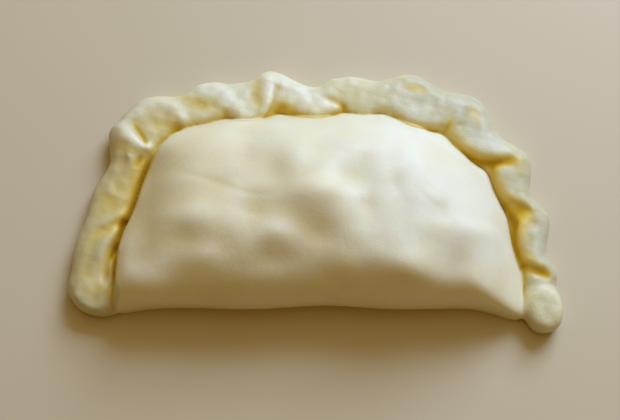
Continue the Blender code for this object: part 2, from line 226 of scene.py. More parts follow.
# %% Plain forms: the lobes
LOBE_ROUNDING = 4.0
LOBE_POWER = 6.0              # 2 is a round section, more is flatter on top
LOBE_SQUARENESS = 2.3         # 2 is an ellipse in plan
LOBE_TUCK = 0.14              # share of its size by which a lobe draws in at its foot
# Place, long axis in degrees, half sizes and height.
LOBES = (
    ((-57.8, -21.9), -15.0, 6.8, 5.2, 7.8),
    ((59.5, -25.2), 98.0, 6.6, 5.1, 7.8),
)


def lobe_reach(x, y, row):
    """Return 0 at the middle of a lobe and 1 at its edge: a squarish ellipse's own radius."""
    (centre_x, centre_y), heading, half_length, half_width, _ = row
    cosine, sine = math.cos(math.radians(heading)), math.sin(math.radians(heading))
    u = ((x - centre_x) * cosine + (y - centre_y) * sine) / half_length
    v = (-(x - centre_x) * sine + (y - centre_y) * cosine) / half_width
    return (np.abs(u) ** LOBE_SQUARENESS + np.abs(v) ** LOBE_SQUARENESS) ** (1 / LOBE_SQUARENESS)


def lobe_top(x, y, row):
    """Return the lobe's height: its top, less a rounding by the root of 1 - reach ** power."""
    reach = lobe_reach(x, y, row)
    rise = np.sqrt(np.clip(1 - reach ** LOBE_POWER, 0.0, 1.0))
    return np.where(reach < 1, row[4] - LOBE_ROUNDING * (1 - rise), 0.0)

# %% Plain forms: the pocket
def front_line(x):
    """Return the y to which the front fold bulges out: a slow sine wave, less a bell at each end."""
    waves = FRONT_WAVE * np.sin(x / FRONT_WAVE_PITCH + FRONT_WAVE_PHASE)
    waves = waves * np.exp(-(x / FRONT_WAVE_FADE) ** 2)
    flare = sum(pull * np.exp(-((x - place) / width) ** 2) for place, width, pull in FLARES)
    return FRONT_LINE + waves - flare


def distance_to_crimp(x, y):
    """Return a rounded distance to the crimp path, exact beside it and smooth far from it.

    It sums one over the fourth power of the distance to each short step of the path.
    Beside a straight path that sum is pi / 2 over the cube of the distance.
    """
    every = 8
    step = CRIMP_STATIONS[every]
    near = 0.0
    for place_x, place_y in CRIMP_PLACES[::every]:
        near = near + step / ((x - place_x) ** 2 + (y - place_y) ** 2 + 0.01) ** 2
    return (math.pi / 2 / near) ** (1 / 3)


def pocket_rise(x, y, inset):
    """Return 0 at the pocket's edges and 1 on its top, and the low level that it rises from.

    The rise is the product of two: a quarter circle over the distance from the front fold, and
    a steeper curve of the same kind over the distance from the crimp.
    """
    from_front = np.clip((y - front_line(x)) / FRONT_RISE, 0.0, 1.0)
    from_rim = np.clip((distance_to_crimp(x, y) - inset) / RIM_RISE, 0.0, 1.0)
    front = np.sqrt(1 - (1 - from_front) ** 2)
    rim = (1 - (1 - from_rim) ** RIM_FLATTENING) ** RIM_POWER
    away = np.clip(from_rim * RIM_RISE / EQUATOR_BLEND, 0.0, 1.0)
    low = RIM_EQUATOR + (FRONT_EQUATOR - RIM_EQUATOR) * away ** 2 * (3 - 2 * away)
    return front * rim, low


def pocket_top(x, y, inset=POCKET_INSET):
    """Return the height of the pocket's plain skin: its low level plus a share of what is left."""
    rise, low = pocket_rise(x, y, inset)
    return low + (POCKET_HEIGHT - low) * rise


def seam_inset(station, outward):
    """Return where the pocket starts: the mean, changing to the seam as a bell curve beside it."""
    nearness = np.exp(-(outward / SEAM_FADE) ** 2)
    return POCKET_INSET + (eased(SEAM, station) - SEAM_OVERLAP - POCKET_INSET) * nearness

# %% [markdown]
# ## One closed skin
#
# The three plain forms are made as closed meshes, joined into one object, and fused by a
# voxel remesh. That gives one closed skin of nearly even squares, which is what dough is:
# one skin with no seams, whose squares are small enough to be pressed and folded later.

# %% A closed mesh of rings
def closed_mesh(name, rings, top, bottom):
    """Make a closed mesh of rings of points, from below the top pole to above the bottom one.

    rings has the shape (rings, segments, 3), with the segments running anticlockwise.
    """
    ring_count, segments = rings.shape[:2]
    points = np.vstack([rings.reshape(-1, 3), [top, bottom]])
    here = np.arange(segments)
    after = np.roll(here, -1)
    upper = (np.arange(ring_count - 1) * segments)[:, None]
    lower = upper + segments
    sides = np.stack([upper + here, lower + here, lower + after, upper + after], axis=2)
    last = (ring_count - 1) * segments
    pole = ring_count * segments
    cap = np.stack([here, after, np.full(segments, pole)], axis=1)
    base = np.stack([last + after, last + here, np.full(segments, pole + 1)], axis=1)
    mesh = bpy.data.meshes.new(name)
    faces = sides.reshape(-1, 4).tolist() + cap.tolist() + base.tolist()
    mesh.from_pydata(points.tolist(), [], faces)
    return mesh

# %% The pocket's mesh
POCKET_SEGMENTS = 260
POCKET_RINGS = (60, 12)       # on its top and down its side
RIM_SAMPLES = 900             # places on its outline, beside the crimp and along the front
FRONT_SAMPLES = 600
RING_SPREAD = 0.9             # below 1, the rings are a little closer together at the edge
SIDE_TURN = 0.9               # below 1, the tucked side stops short of a full quarter circle


def pocket_mesh():
    """Make the pocket: rings from its top to its edge by bearing and distance, then a tucked side.

    The share of the distance goes as a sine, so the rings are close together where the skin is
    steep. The side draws in under itself as a quarter circle.
    """
    stations = np.linspace(CRIMP_LENGTH, 0.0, RIM_SAMPLES)
    rim_x, rim_y = along_crimp(stations, np.full_like(stations, -POCKET_INSET))
    front_x = np.linspace(rim_x[-1], rim_x[0], FRONT_SAMPLES)[1:-1]
    x = np.concatenate([rim_x, front_x, rim_x[:1]]) - POCKET_CENTRE[0]
    y = np.concatenate([rim_y, front_line(front_x), rim_y[:1]]) - POCKET_CENTRE[1]
    travelled = np.concatenate([[0.0], np.cumsum(np.hypot(np.diff(x), np.diff(y)))])
    even = np.linspace(0.0, travelled[-1], POCKET_SEGMENTS, endpoint=False)
    x = np.interp(even, travelled, x)
    y = np.interp(even, travelled, y)
    turn = np.linspace(0.0, math.pi / 2, POCKET_RINGS[0] + 1)[1:, None]
    top_share = np.sin(turn) ** RING_SPREAD
    top_x = POCKET_CENTRE[0] + x * top_share
    top_y = POCKET_CENTRE[1] + y * top_share
    top_z = pocket_top(top_x, top_y)
    sink = np.linspace(0.0, 1.0, POCKET_RINGS[1] + 1)[1:, None]
    edge_z = top_z[-1]
    reach = np.hypot(x, y)
    tuck = FRONT_TUCK * (1 - np.sqrt(1 - SIDE_TURN * sink ** 2)) * edge_z / FRONT_EQUATOR
    side_x = POCKET_CENTRE[0] + x * (1 - tuck / reach)
    side_y = POCKET_CENTRE[1] + y * (1 - tuck / reach)
    side_z = edge_z * (1 - sink) - BELOW_FLOOR * sink
    rings = np.concatenate([np.stack([top_x, top_y, top_z], axis=2),
                            np.stack([side_x, side_y, side_z], axis=2)])
    centre = np.array([POCKET_CENTRE])
    summit = float(pocket_top(centre[:, 0], centre[:, 1])[0])
    return closed_mesh("pocket", rings, (*POCKET_CENTRE, summit), (*POCKET_CENTRE, -BELOW_FLOOR))

# %% The band's mesh
BAND_ROWS = 420
BAND_COLUMNS = 40
ALMOST = 0.9995               # the section stops just short of its edges, where it has no height


def band_mesh():
    """Make the crimp's plain band: its rounded section carried along the path, capped at both ends.

    The section's points are spread by a sine, from the hidden root to the outer edge.
    """
    station = np.linspace(CRIMP_START, CRIMP_END, BAND_ROWS)[:, None]
    side = np.sin(np.linspace(-math.pi / 2, math.pi / 2, BAND_COLUMNS))[None, :] * ALMOST
    outer = eased(OUTER_EDGE, station)
    outward = (outer - ROOT_INNER) / 2 + (outer + ROOT_INNER) / 2 * side
    station = np.broadcast_to(station, outward.shape)
    x, y = along_crimp(station, outward)
    z = np.maximum(band_top(station, outward), np.where(outward < 0, ROOT_LEVEL, 0.0))
    foot = outward[:, [-1, 0]] + np.array([-OUTER_TUCK, -INNER_ROOT])
    foot_x, foot_y = along_crimp(station[:, [-1, 0]], foot)
    x, y = np.hstack([x, foot_x]), np.hstack([y, foot_y])
    z = np.hstack([z, np.full_like(foot_x, -BELOW_FLOOR)])
    rows, corners = x.shape
    here = np.arange(corners)
    after = np.roll(here, -1)
    first = (np.arange(rows - 1) * corners)[:, None]
    following = first + corners
    faces = np.stack([first + here, first + after, following + after, following + here], axis=2)
    caps = [here[::-1].tolist(), ((rows - 1) * corners + here).tolist()]
    mesh = bpy.data.meshes.new("band")
    mesh.from_pydata(np.stack([x, y, z], axis=2).reshape(-1, 3).tolist(), [],
                     faces.reshape(-1, 4).tolist() + caps)
    return mesh

# %% A lobe's mesh
LOBE_SEGMENTS = 80
LOBE_RINGS = (20, 6)          # on its top and down its side


def lobe_mesh(row):
    """Make a lobe: squarish rings that grow from the top by a sine, then sink to below the floor."""
    (centre_x, centre_y), heading, half_length, half_width, height = row
    cosine, sine = math.cos(math.radians(heading)), math.sin(math.radians(heading))
    turn = np.linspace(0.0, 2 * math.pi, LOBE_SEGMENTS, endpoint=False)[None, :]
    power = 2 / LOBE_SQUARENESS
    u = np.sign(np.cos(turn)) * np.abs(np.cos(turn)) ** power * half_length
    v = np.sign(np.sin(turn)) * np.abs(np.sin(turn)) ** power * half_width
    reach = np.sin(np.linspace(0.0, math.pi / 2, LOBE_RINGS[0] + 1)[1:, None])
    z = height - LOBE_ROUNDING * (1 - np.sqrt(np.clip(1 - reach ** LOBE_POWER, 0.0, 1.0)))
    sink = np.linspace(0.0, 1.0, LOBE_RINGS[1] + 1)[1:, None]
    reach = np.vstack([reach, 1 - LOBE_TUCK * sink])
    z = np.vstack([z, (height - LOBE_ROUNDING) * (1 - sink) - BELOW_FLOOR * sink])
    x = centre_x + reach * (u * cosine - v * sine)
    y = centre_y + reach * (u * sine + v * cosine)
    rings = np.stack([x, y, np.broadcast_to(z, x.shape)], axis=2)
    middle = (centre_x, centre_y)
    return closed_mesh("lobe", rings, (*middle, height), (*middle, -BELOW_FLOOR))

# %% Fuse them into one skin
SKIN_VOXEL = 0.42             # the size of the skin's squares


def fused_skin(meshes):
    """Join closed meshes, in millimetres, and voxel remesh them into one closed skin."""
    shape = bmesh.new()
    for mesh in meshes:
        shape.from_mesh(mesh)
        bpy.data.meshes.remove(mesh)
    joined = bpy.data.meshes.new("empanada_dough")
    shape.to_mesh(joined)
    shape.free()
    obj = bpy.data.objects.new("empanada_dough", joined)
    bpy.context.scene.collection.objects.link(obj)
    remesh = obj.modifiers.new("fuse", "REMESH")
    remesh.mode = "VOXEL"
    remesh.voxel_size = SKIN_VOXEL
    bpy.context.view_layer.update()
    evaluated = obj.evaluated_get(bpy.context.evaluated_depsgraph_get())
    skin = bpy.data.meshes.new_from_object(evaluated)
    obj.modifiers.clear()
    obj.data = skin
    bpy.data.meshes.remove(joined)
    return obj


def cut_level(mesh):
    """Cut the mesh off flat at the floor and close the cut with one face."""
    shape = bmesh.new()
    shape.from_mesh(mesh)
    everything = shape.verts[:] + shape.edges[:] + shape.faces[:]
    cut = bmesh.ops.bisect_plane(shape, geom=everything, dist=1e-4, plane_co=(0, 0, 0),
                                 plane_no=(0, 0, -1), clear_outer=True)
    rim = [item for item in cut["geom_cut"] if isinstance(item, bmesh.types.BMEdge)]
    bmesh.ops.contextual_create(shape, geom=rim)
    bmesh.ops.recalc_face_normals(shape, faces=shape.faces[:])
    shape.to_mesh(mesh)
    shape.free()


dough = fused_skin([pocket_mesh(), band_mesh()] + [lobe_mesh(row) for row in LOBES])
cut_level(dough.data)
print("skin of", len(dough.data.vertices), "points,", len(dough.data.polygons), "faces")

# %% [markdown]
# ## Pressing and folding the skin
#
# A stroke is a smooth line drawn on the dough with a height at each of its points. A ridge
# lifts the skin along the line and a groove, which is a ridge of negative height, presses it
# in. A lip lifts everything on its left side and leaves its right side where it was, like
# the edge of a pleat that is folded over the next one. A bump is a single round or oval lump.

# %% Strokes
STROKE_STEP = 0.4             # length of a stroke's short straight steps
BELL_END = 3.0                # a bell curve has all but died out at this many widths,
FADE_END = 2.4                # and the fade behind a lip at this many reaches


def stroke(a, b, points):
    """Return each place's signed distance to a line, and the line's height at its nearest point.

    The distance is to the nearest of many short straight steps, and is positive on the left of
    the line. The height runs evenly from one end of a step to the other.
    """
    _, line = smooth_line(points, STROKE_STEP)
    start, step = line[:-1, :2], np.diff(line[:, :2], axis=0)
    length = np.linalg.norm(step, axis=1)
    best = np.full(a.shape, np.inf)
    signed = np.zeros(a.shape)
    height = np.zeros(a.shape)
    for index in range(len(step)):
        ux, uy = step[index] / length[index]
        da, db = a - start[index, 0], b - start[index, 1]
        t = np.clip((da * ux + db * uy) / length[index], 0.0, 1.0)
        off_a, off_b = da - t * step[index, 0], db - t * step[index, 1]
        distance = np.hypot(off_a, off_b)
        nearer = distance < best
        best = np.where(nearer, distance, best)
        signed = np.where(nearer, np.sign(ux * off_b - uy * off_a) * distance, signed)
        height = np.where(nearer, line[index, 2] * (1 - t) + line[index + 1, 2] * t, height)
    return signed, height


def near(a, b, points, margin):
    """Return the indices of the places within a margin of the box around a line."""
    line = np.array(points)
    low, high = line[:, :2].min(axis=0) - margin, line[:, :2].max(axis=0) + margin
    return np.flatnonzero((a > low[0]) & (a < high[0]) & (b > low[1]) & (b < high[1]))


def add_ridges(field, a, b, rows):
    """Add ridges to a field: height times a bell curve of the distance to each line.

    The bell curve is exp(-(distance / width) ** 2), here and wherever a bell is named.
    """
    for width, points in rows:
        here = near(a, b, points, BELL_END * width)
        signed, height = stroke(a[here], b[here], points)
        field[here] += height * np.exp(-(signed / width) ** 2)


def add_lips(field, a, b, rows):
    """Add lips to a field.

    On the left of the line the height rises through a quarter circle over the edge's width and
    then fades as a bell curve over the reach. On the right there is only a narrow groove, where
    the pleat rolls under itself.
    """
    for edge, reach, points in rows:
        here = near(a, b, points, FADE_END * reach)
        signed, height = stroke(a[here], b[here], points)
        rise = np.sqrt(1 - (1 - np.clip(signed / edge, 0.0, 1.0)) ** 2)
        fade = np.exp(-(np.clip(signed, 0.0, None) / reach) ** 2)
        groove = LIP_GROOVE * np.exp(-(signed / LIP_GROOVE_WIDTH) ** 2)
        field[here] += height * np.where(signed > 0, rise * fade - groove * (1 - rise), -groove)


def add_bumps(field, a, b, rows):
    """Add round or oval bumps to a field: bell curves turned by an angle."""
    for (centre_a, centre_b), (half_long, half_wide), turn, rise in rows:
        cosine, sine = math.cos(math.radians(turn)), math.sin(math.radians(turn))
        u = ((a - centre_a) * cosine + (b - centre_b) * sine) / half_long
        v = (-(a - centre_a) * sine + (b - centre_b) * cosine) / half_wide
        field += rise * np.exp(-u ** 2 - v ** 2)

# %% [markdown]
# ## The pleats
#
# Each pleat is folded over the next one, clockwise, so its leading edge is a lip. The lines
# are given in the crimp's own coordinates: station, distance outside the path, height.

# %% The pleats
LIP_GROOVE = 0.28
LIP_GROOVE_WIDTH = 0.7
# Width of the rounded edge, how far back the pleat stays raised, and the line.
LIPS = (
    (2.0, 4.5, ((7.0, -3.4, 0.1), (9.5, -3.6, 0.3), (12.5, -3.6, 0.5), (15.5, -3.9, 0.7),
                (18.5, -4.8, 0.7), (21.5, -5.7, 0.7), (24.0, -6.1, 0.4))),
    (2.2, 4.5, ((65.0, -6.2, 0.1), (67.5, -6.6, 0.5), (70.5, -6.5, 0.7), (73.0, -5.8, 0.6),
                (74.3, -4.6, 0.3))),
    (1.8, 4.5, ((76.2, -6.6, 0.2), (78.0, -7.6, 0.6), (80.5, -8.0, 0.8), (83.0, -7.8, 0.9),
                (85.0, -6.9, 1.0), (86.6, -5.0, 1.1), (87.8, -3.0, 1.1), (88.3, -1.0, 1.0),
                (88.5, 0.8, 0.6), (89.2, 2.4, 0.1))),
    (1.9, 5.0, ((93.0, -6.2, 0.4), (95.5, -7.3, 0.9), (98.0, -7.8, 1.1), (100.5, -7.8, 1.1),
                (103.0, -7.2, 1.0), (105.2, -6.0, 0.9), (106.8, -4.9, 0.7), (107.2, -4.0, 0.3),
                (106.6, -2.9, 0.1))),
    (2.0, 5.0, ((116.6, -4.7, 0.1), (119.0, -4.7, 0.3), (121.3, -5.1, 0.5), (123.0, -6.6, 0.9),
                (125.4, -7.5, 1.2), (128.2, -7.9, 1.2), (131.2, -7.6, 1.1), (134.0, -6.9, 0.9),
                (136.4, -5.6, 0.7), (138.0, -4.0, 0.4))),
    (2.2, 5.0, ((140.0, -5.2, 0.2), (143.0, -6.3, 0.6), (146.0, -6.8, 0.8), (148.6, -6.2, 0.9),
                (151.2, -5.0, 0.9), (153.4, -3.6, 1.0), (155.3, -1.6, 1.0), (156.4, 0.6, 0.8),
                (157.2, 2.6, 0.4), (158.2, 4.0, 0.1))),
    (2.2, 4.5, ((157.4, -2.6, 0.2), (159.2, -3.4, 0.4), (161.6, -4.1, 0.5), (164.4, -4.3, 0.6),
                (166.8, -3.6, 0.7), (168.6, -2.0, 0.8), (170.0, -0.2, 0.8), (171.2, 1.2, 0.5),
                (173.0, 2.0, 0.1))),
    (2.0, 4.5, ((173.0, -1.8, 0.2), (174.6, -2.8, 0.5), (177.2, -3.8, 0.7), (180.8, -4.3, 0.8),
                (184.2, -3.9, 0.9), (186.2, -2.5, 1.0), (187.6, -0.6, 1.0), (188.5, 1.2, 0.7),
                (189.8, 2.6, 0.3), (191.2, 3.6, 0.1))),
)
# Width and line of each crest, valley and groove.
RIDGES = (
    (0.6, ((4.5, -3.0, -0.1), (6.0, -3.8, -0.4), (8.0, -4.3, -0.5), (10.0, -4.2, -0.5),
           (12.0, -4.6, -0.6), (14.0, -4.6, -0.6))),
    (0.6, ((3.8, -4.6, -0.1), (4.5, -5.6, -0.4), (6.0, -6.0, -0.6), (9.0, -6.2, -0.7),
           (12.0, -6.0, -0.8), (13.5, -5.8, -0.7))),
    (1.5, ((10.5, -2.2, 0.1), (12.5, -1.9, 0.3), (15.0, -2.0, 0.4), (18.0, -2.8, 0.4),
           (21.5, -4.2, 0.2))),
    (1.2, ((17.0, 1.4, 0.0), (20.0, -0.8, -0.4), (22.4, -3.4, -0.6), (24.0, -5.4, -0.7))),
    (1.7, ((18.6, 3.2, 0.1), (21.6, 0.4, 0.4), (24.2, -2.6, 0.5), (26.6, -5.2, 0.3))),
    (1.5, ((30.0, 3.4, 0.0), (30.9, 1.0, 0.4), (30.9, -1.6, 0.35), (31.6, -3.4, 0.1))),
    (1.0, ((27.0, -1.8, 0.1), (29.5, -3.2, 0.3), (32.0, -3.6, 0.1))),
    (0.9, ((15.0, -5.7, -0.3), (19.0, -5.7, -0.8), (23.0, -5.9, -1.2), (28.0, -6.5, -1.6),
           (33.0, -6.3, -1.6), (38.0, -6.0, -1.6), (42.0, -5.9, -1.2), (44.0, -5.6, -0.3))),
    (0.7, ((39.4, -2.8, 0.0), (40.6, -3.1, -0.6), (42.4, -3.3, -0.7), (43.6, -3.2, 0.0))),
    (1.6, ((48.6, 6.6, 0.2), (47.8, 4.6, 0.6), (46.8, 2.0, 0.7), (46.1, -0.8, 0.7), (46.2, -3.4, 0.6))),
    (2.6, ((46.4, 5.6, 0.5), (45.2, 2.6, 0.7), (44.4, -0.6, 0.5), (44.4, -3.0, 0.2))),
    (0.5, ((49.8, 3.2, 0.0), (49.2, 1.6, -0.8), (48.2, -0.6, -1.0), (47.2, -2.4, -0.9),
           (46.9, -3.2, 0.0))),
    (1.8, ((56.6, 4.8, 0.1), (58.8, 2.4, 0.3), (60.6, -0.4, 0.4), (61.6, -3.4, 0.5),
           (62.0, -6.0, 0.3))),
    (1.6, ((53.0, -3.4, 0.0), (55.4, -4.6, -0.2), (57.8, -5.8, -0.2), (59.6, -6.6, -0.2))),
    (2.0, ((64.4, 1.2, -0.1), (66.4, -0.4, -0.3), (68.8, -2.2, -0.35), (71.4, -3.6, -0.2))),
    (0.8, ((74.2, -3.2, 0.0), (74.7, -4.8, -0.4), (75.8, -6.4, -0.3))),
    (2.8, ((71.5, 3.6, 0.1), (74.4, 0.8, 0.35), (77.0, -2.4, 0.5), (79.2, -5.6, 0.4))),
    (1.8, ((84.0, 4.2, -0.3), (83.8, 1.4, -0.4), (83.6, -1.8, -0.4), (83.4, -4.6, -0.2))),
    (1.4, ((87.6, -5.0, -0.1), (89.6, -4.1, -0.4), (91.8, -4.6, -0.3), (94.2, -6.1, -0.1))),
    (1.2, ((116.0, -5.8, 0.0), (119.0, -5.7, 0.5), (122.0, -6.5, 0.3))),
    (1.4, ((98.8, 1.8, -0.4), (98.8, -0.4, -0.3), (99.2, -3.0, 0.0))),
    (0.8, ((102.6, -1.6, 0.0), (104.8, -2.6, -0.4), (106.6, -3.9, -0.5), (107.8, -4.9, -0.3))),
    (1.4, ((108.5, -6.2, 0.0), (111.5, -6.8, 0.5), (114.5, -6.7, 0.5), (117.0, -5.8, 0.0))),
    (0.8, ((138.4, -1.2, -0.1), (138.7, -2.8, -0.6), (138.9, -4.8, -0.7))),
    (1.3, ((148.5, -6.8, -0.2), (151.5, -5.9, -0.5), (154.2, -4.2, -0.6), (156.2, -1.8, -0.6),
           (157.3, 0.6, -0.5), (158.0, 2.4, -0.2))),
    (1.4, ((167.6, -4.8, -0.2), (169.8, -3.4, -0.6), (171.5, -1.6, -0.8), (172.0, 0.2, -0.4))),
    (0.9, ((157.0, -3.8, -0.3), (162.0, -4.9, -0.5), (168.0, -4.6, -0.6), (173.0, -4.1, -0.6),
           (178.0, -4.8, -0.6), (184.0, -5.1, -0.6), (187.0, -4.4, -0.4))),
    (1.0, ((187.9, -3.0, -0.3), (188.8, -0.8, -0.5), (189.9, 1.6, -0.4))),
    (0.35, ((187.8, -3.8, -0.4), (191.0, -4.2, -0.6), (195.0, -5.2, -0.6), (199.0, -6.2, -0.3))),
    (0.3, ((48.5, -4.4, 0.0), (51.0, -3.6, -0.15), (54.0, -3.2, 0.0))),
    (0.3, ((48.8, -5.0, 0.0), (51.5, -4.5, -0.15), (55.0, -4.8, 0.0))),
    (0.3, ((90.1, -0.4, 0.0), (90.2, -1.8, -0.15), (90.0, -3.2, 0.0))),
    (0.3, ((91.4, -0.2, 0.0), (91.6, -1.8, -0.15), (91.6, -3.4, 0.0))),
    (0.3, ((192.8, -1.8, 0.0), (193.6, -2.9, -0.35), (194.2, -3.8, 0.0))),
    (0.3, ((191.2, -0.4, 0.0), (192.2, -1.7, -0.2), (192.7, -3.0, 0.0))),
)
# Place, half sizes, turn and height of single bumps and pits.
DENTS = (
    ((16.0, -5.0), (2.0, 0.9), 0.0, -1.4),
    ((9.0, -5.2), (3.8, 0.7), 0.0, 0.2),
    ((0.6, -0.6), (1.6, 1.2), 0.0, -0.5),
    ((41.5, -0.8), (2.1, 1.0), 50.0, 0.6),
    ((46.5, -4.0), (1.1, 1.0), 0.0, 0.6),
    ((45.8, -4.7), (0.5, 0.5), 0.0, 0.25),
    ((47.2, -4.7), (0.5, 0.5), 0.0, 0.25),
    ((52.0, 5.0), (3.0, 1.6), 0.0, 0.4),
    ((54.0, -1.5), (3.0, 2.0), -30.0, -0.3),
    ((86.8, 4.6), (2.2, 1.6), 0.0, 0.4),
    ((89.8, 1.6), (1.0, 1.0), 0.0, -0.3),
    ((107.3, -4.1), (1.0, 0.8), 0.0, -0.5),
    ((126.0, 3.1), (2.8, 1.4), 0.0, -0.28),
    ((138.5, 3.2), (2.6, 2.2), 20.0, 0.4),
    ((142.6, 3.8), (2.2, 1.8), 0.0, -0.25),
    ((138.2, 1.4), (0.6, 0.5), 20.0, 0.2),
    ((139.4, 0.5), (0.6, 0.5), 60.0, 0.2),
    ((137.2, 0.2), (0.5, 0.6), 0.0, 0.15),
    ((161.4, -0.4), (2.4, 1.4), 15.0, 0.15),
    ((180.0, 0.4), (2.6, 1.6), 0.0, 0.25),
)

# %% [markdown]
# ## The filling under the skin
#
# Minced filling pushes the skin up in soft lumps and leaves hollows between them.

# %% The filling's lumps
# Place in x and y, half sizes, turn, height.
FILLING = (
    ((1.2, 0.8), (7.5, 4.8), 0.0, 2.7),
    ((1.5, 10.0), (7.5, 7.0), 0.0, 1.0),
    ((-6.5, 11.5), (4.8, 7.5), 0.0, 1.4),
    ((-11.0, 8.0), (4.2, 8.0), 0.0, -0.7),
    ((-18.5, 15.0), (5.5, 11.0), 0.0, -1.9),
    ((-17.5, 20.5), (5.0, 4.0), 0.0, -1.2),
    ((-27.0, 9.0), (5.5, 9.0), 0.0, -1.0),
    ((-15.5, -5.5), (6.0, 5.0), -20.0, -1.2),
    ((-2.0, -3.0), (5.0, 4.0), 0.0, 0.4),
    ((2.0, -7.0), (6.0, 3.0), 0.0, 0.2),
    ((9.0, -10.5), (4.0, 3.0), 0.0, 0.4),
    ((10.0, 15.0), (5.0, 4.0), 0.0, 1.3),
    ((12.5, 8.0), (3.0, 7.0), 4.0, -0.6),
    ((8.5, 4.0), (3.8, 3.8), 0.0, -1.4),
    ((13.0, -3.0), (3.2, 3.2), 0.0, -0.8),
    ((20.5, 4.0), (2.6, 3.0), 0.0, -0.5),
    ((26.0, 13.0), (9.0, 7.0), -35.0, 0.8),
    ((28.0, 16.5), (5.0, 5.0), 0.0, 0.9),
    ((22.0, -4.0), (14.0, 5.0), -38.0, -0.9),
    ((31.5, -4.0), (3.5, 3.5), 0.0, -0.8),
    ((43.5, 3.0), (4.0, 6.0), 0.0, -1.2),
    ((-0.5, -10.8), (6.5, 4.5), 0.0, -0.8),
    ((14.5, -8.5), (4.5, 6.5), 30.0, -0.7),
    ((22.0, -9.5), (3.5, 3.5), 0.0, -0.4),
    ((14.0, -15.5), (6.0, 3.5), -15.0, 0.4),
    ((8.0, -19.0), (5.0, 4.0), 0.0, 1.0),
    ((-10.5, -10.4), (4.8, 3.6), -12.0, 0.9),
    ((-11.0, -17.0), (6.0, 3.6), 0.0, -0.7),
    ((-23.0, -14.5), (4.5, 4.5), 0.0, -0.7),
    ((-31.5, -5.5), (6.5, 4.0), -5.0, 1.3),
    ((-44.0, -7.0), (3.0, 4.0), 0.0, -0.5),
    ((-35.0, -11.0), (6.5, 3.4), 10.0, -0.3),
    ((-28.0, -16.5), (5.5, 3.2), 0.0, 0.4),
    ((24.5, -21.2), (8.0, 5.0), -18.0, 4.0),
    ((43.5, -8.0), (6.0, 3.2), 0.0, 2.0),
    ((35.0, -16.5), (5.0, 5.5), -10.0, -1.4),
    ((34.0, -21.0), (4.0, 4.0), 0.0, -0.8),
    ((42.0, -24.8), (6.5, 4.5), -35.0, 3.5),
)
# The same for the skin's fullness just inside the crimp.
FULLNESS = (
    ((-51.8, -14.5), (5.0, 11.0), -6.0, 4.3),
    ((-48.0, 4.0), (3.0, 8.0), -18.0, 1.4),
    ((-41.0, 18.0), (4.0, 6.5), -40.0, 2.1),
    ((-48.5, -22.0), (8.0, 6.0), 0.0, 3.0),
)

# Width and line of the fine wrinkles in the stretched skin, in x and y, with their heights.
WRINKLES = (
    (0.9, ((-37.0, 8.0, 0.0), (-33.0, 6.6, -0.11), (-27.0, 4.4, -0.13), (-20.0, 1.3, -0.13),
           (-15.0, 0.1, -0.1), (-8.0, 0.0, 0.0))),
    (0.8, ((-20.0, -4.4, 0.0), (-16.0, -4.8, -0.1), (-11.0, -5.0, 0.0))),
    (0.8, ((19.0, 4.4, 0.0), (20.8, 1.0, -0.07), (23.6, -3.0, 0.0))),
    (0.8, ((22.5, 5.6, 0.0), (26.0, 1.4, -0.05), (30.0, -2.0, -0.06), (35.0, -3.6, 0.0))),
    (0.7, ((26.0, 6.0, 0.0), (29.0, 2.6, -0.05), (33.0, 0.4, 0.0))),
    (0.7, ((-44.0, 11.4, 0.0), (-41.0, 12.6, -0.07), (-38.0, 15.4, 0.0))),
    (0.7, ((-43.0, 9.6, 0.0), (-39.4, 11.2, -0.07), (-36.0, 14.6, 0.0))),
    (0.7, ((-41.5, 8.0, 0.0), (-37.4, 9.8, -0.07), (-33.6, 13.0, 0.0))),
)

# %% The plain forms' common skin
SEAM_SOFTNESS = 0.3           # the corner where two forms meet is rounded off over this height


def smooth_max(first, second, softness):
    """Return the larger of two heights, with a parabola in place of the corner between them."""
    gap = np.clip(0.5 + 0.5 * (first - second) / softness, 0.0, 1.0)
    return second + (first - second) * gap + softness * gap * (1 - gap)


def plain_top(x, y, station, outward):
    """Return the height of the plain forms' common skin; the pocket is only inside the path."""
    pocket = np.where(outward < 0, pocket_top(x, y, seam_inset(station, outward)), 0.0)
    top = smooth_max(pocket, band_top(station, outward), SEAM_SOFTNESS)
    for row in LOBES:
        top = smooth_max(top, lobe_top(x, y, row), SEAM_SOFTNESS)
    return top

# %% Reading and smoothing a mesh
OFF_FLOOR = 0.01              # a point that is higher than this isn't part of the flat underside


def read_points(mesh):
    """Return a mesh's points as an array of rows of x, y and z."""
    points = np.empty(len(mesh.vertices) * 3, dtype=np.float32)
    mesh.vertices.foreach_get("co", points)
    return points.reshape(-1, 3).astype(float)


def read_normals(mesh):
    """Return a mesh's point normals as an array of rows."""
    normals = np.empty(len(mesh.vertices) * 3, dtype=np.float32)
    mesh.vertex_normals.foreach_get("vector", normals)
    return normals.reshape(-1, 3).astype(float)


def averaged(mesh, values, rounds, share):
    """Smooth values over the mesh: each moves a share of the way to the mean of its neighbours."""
    edges = np.empty(len(mesh.edges) * 2, dtype=np.int32)
    mesh.edges.foreach_get("vertices", edges)
    first, second = edges.reshape(-1, 2).T
    count = np.bincount(np.concatenate([first, second]), minlength=len(values))
    columns = [column.copy() for column in values.T]
    for _ in range(rounds):
        for column in columns:
            total = (np.bincount(first, column[second], len(column))
                     + np.bincount(second, column[first], len(column)))
            column += share * (total / count - column)
    return np.stack(columns, axis=1)


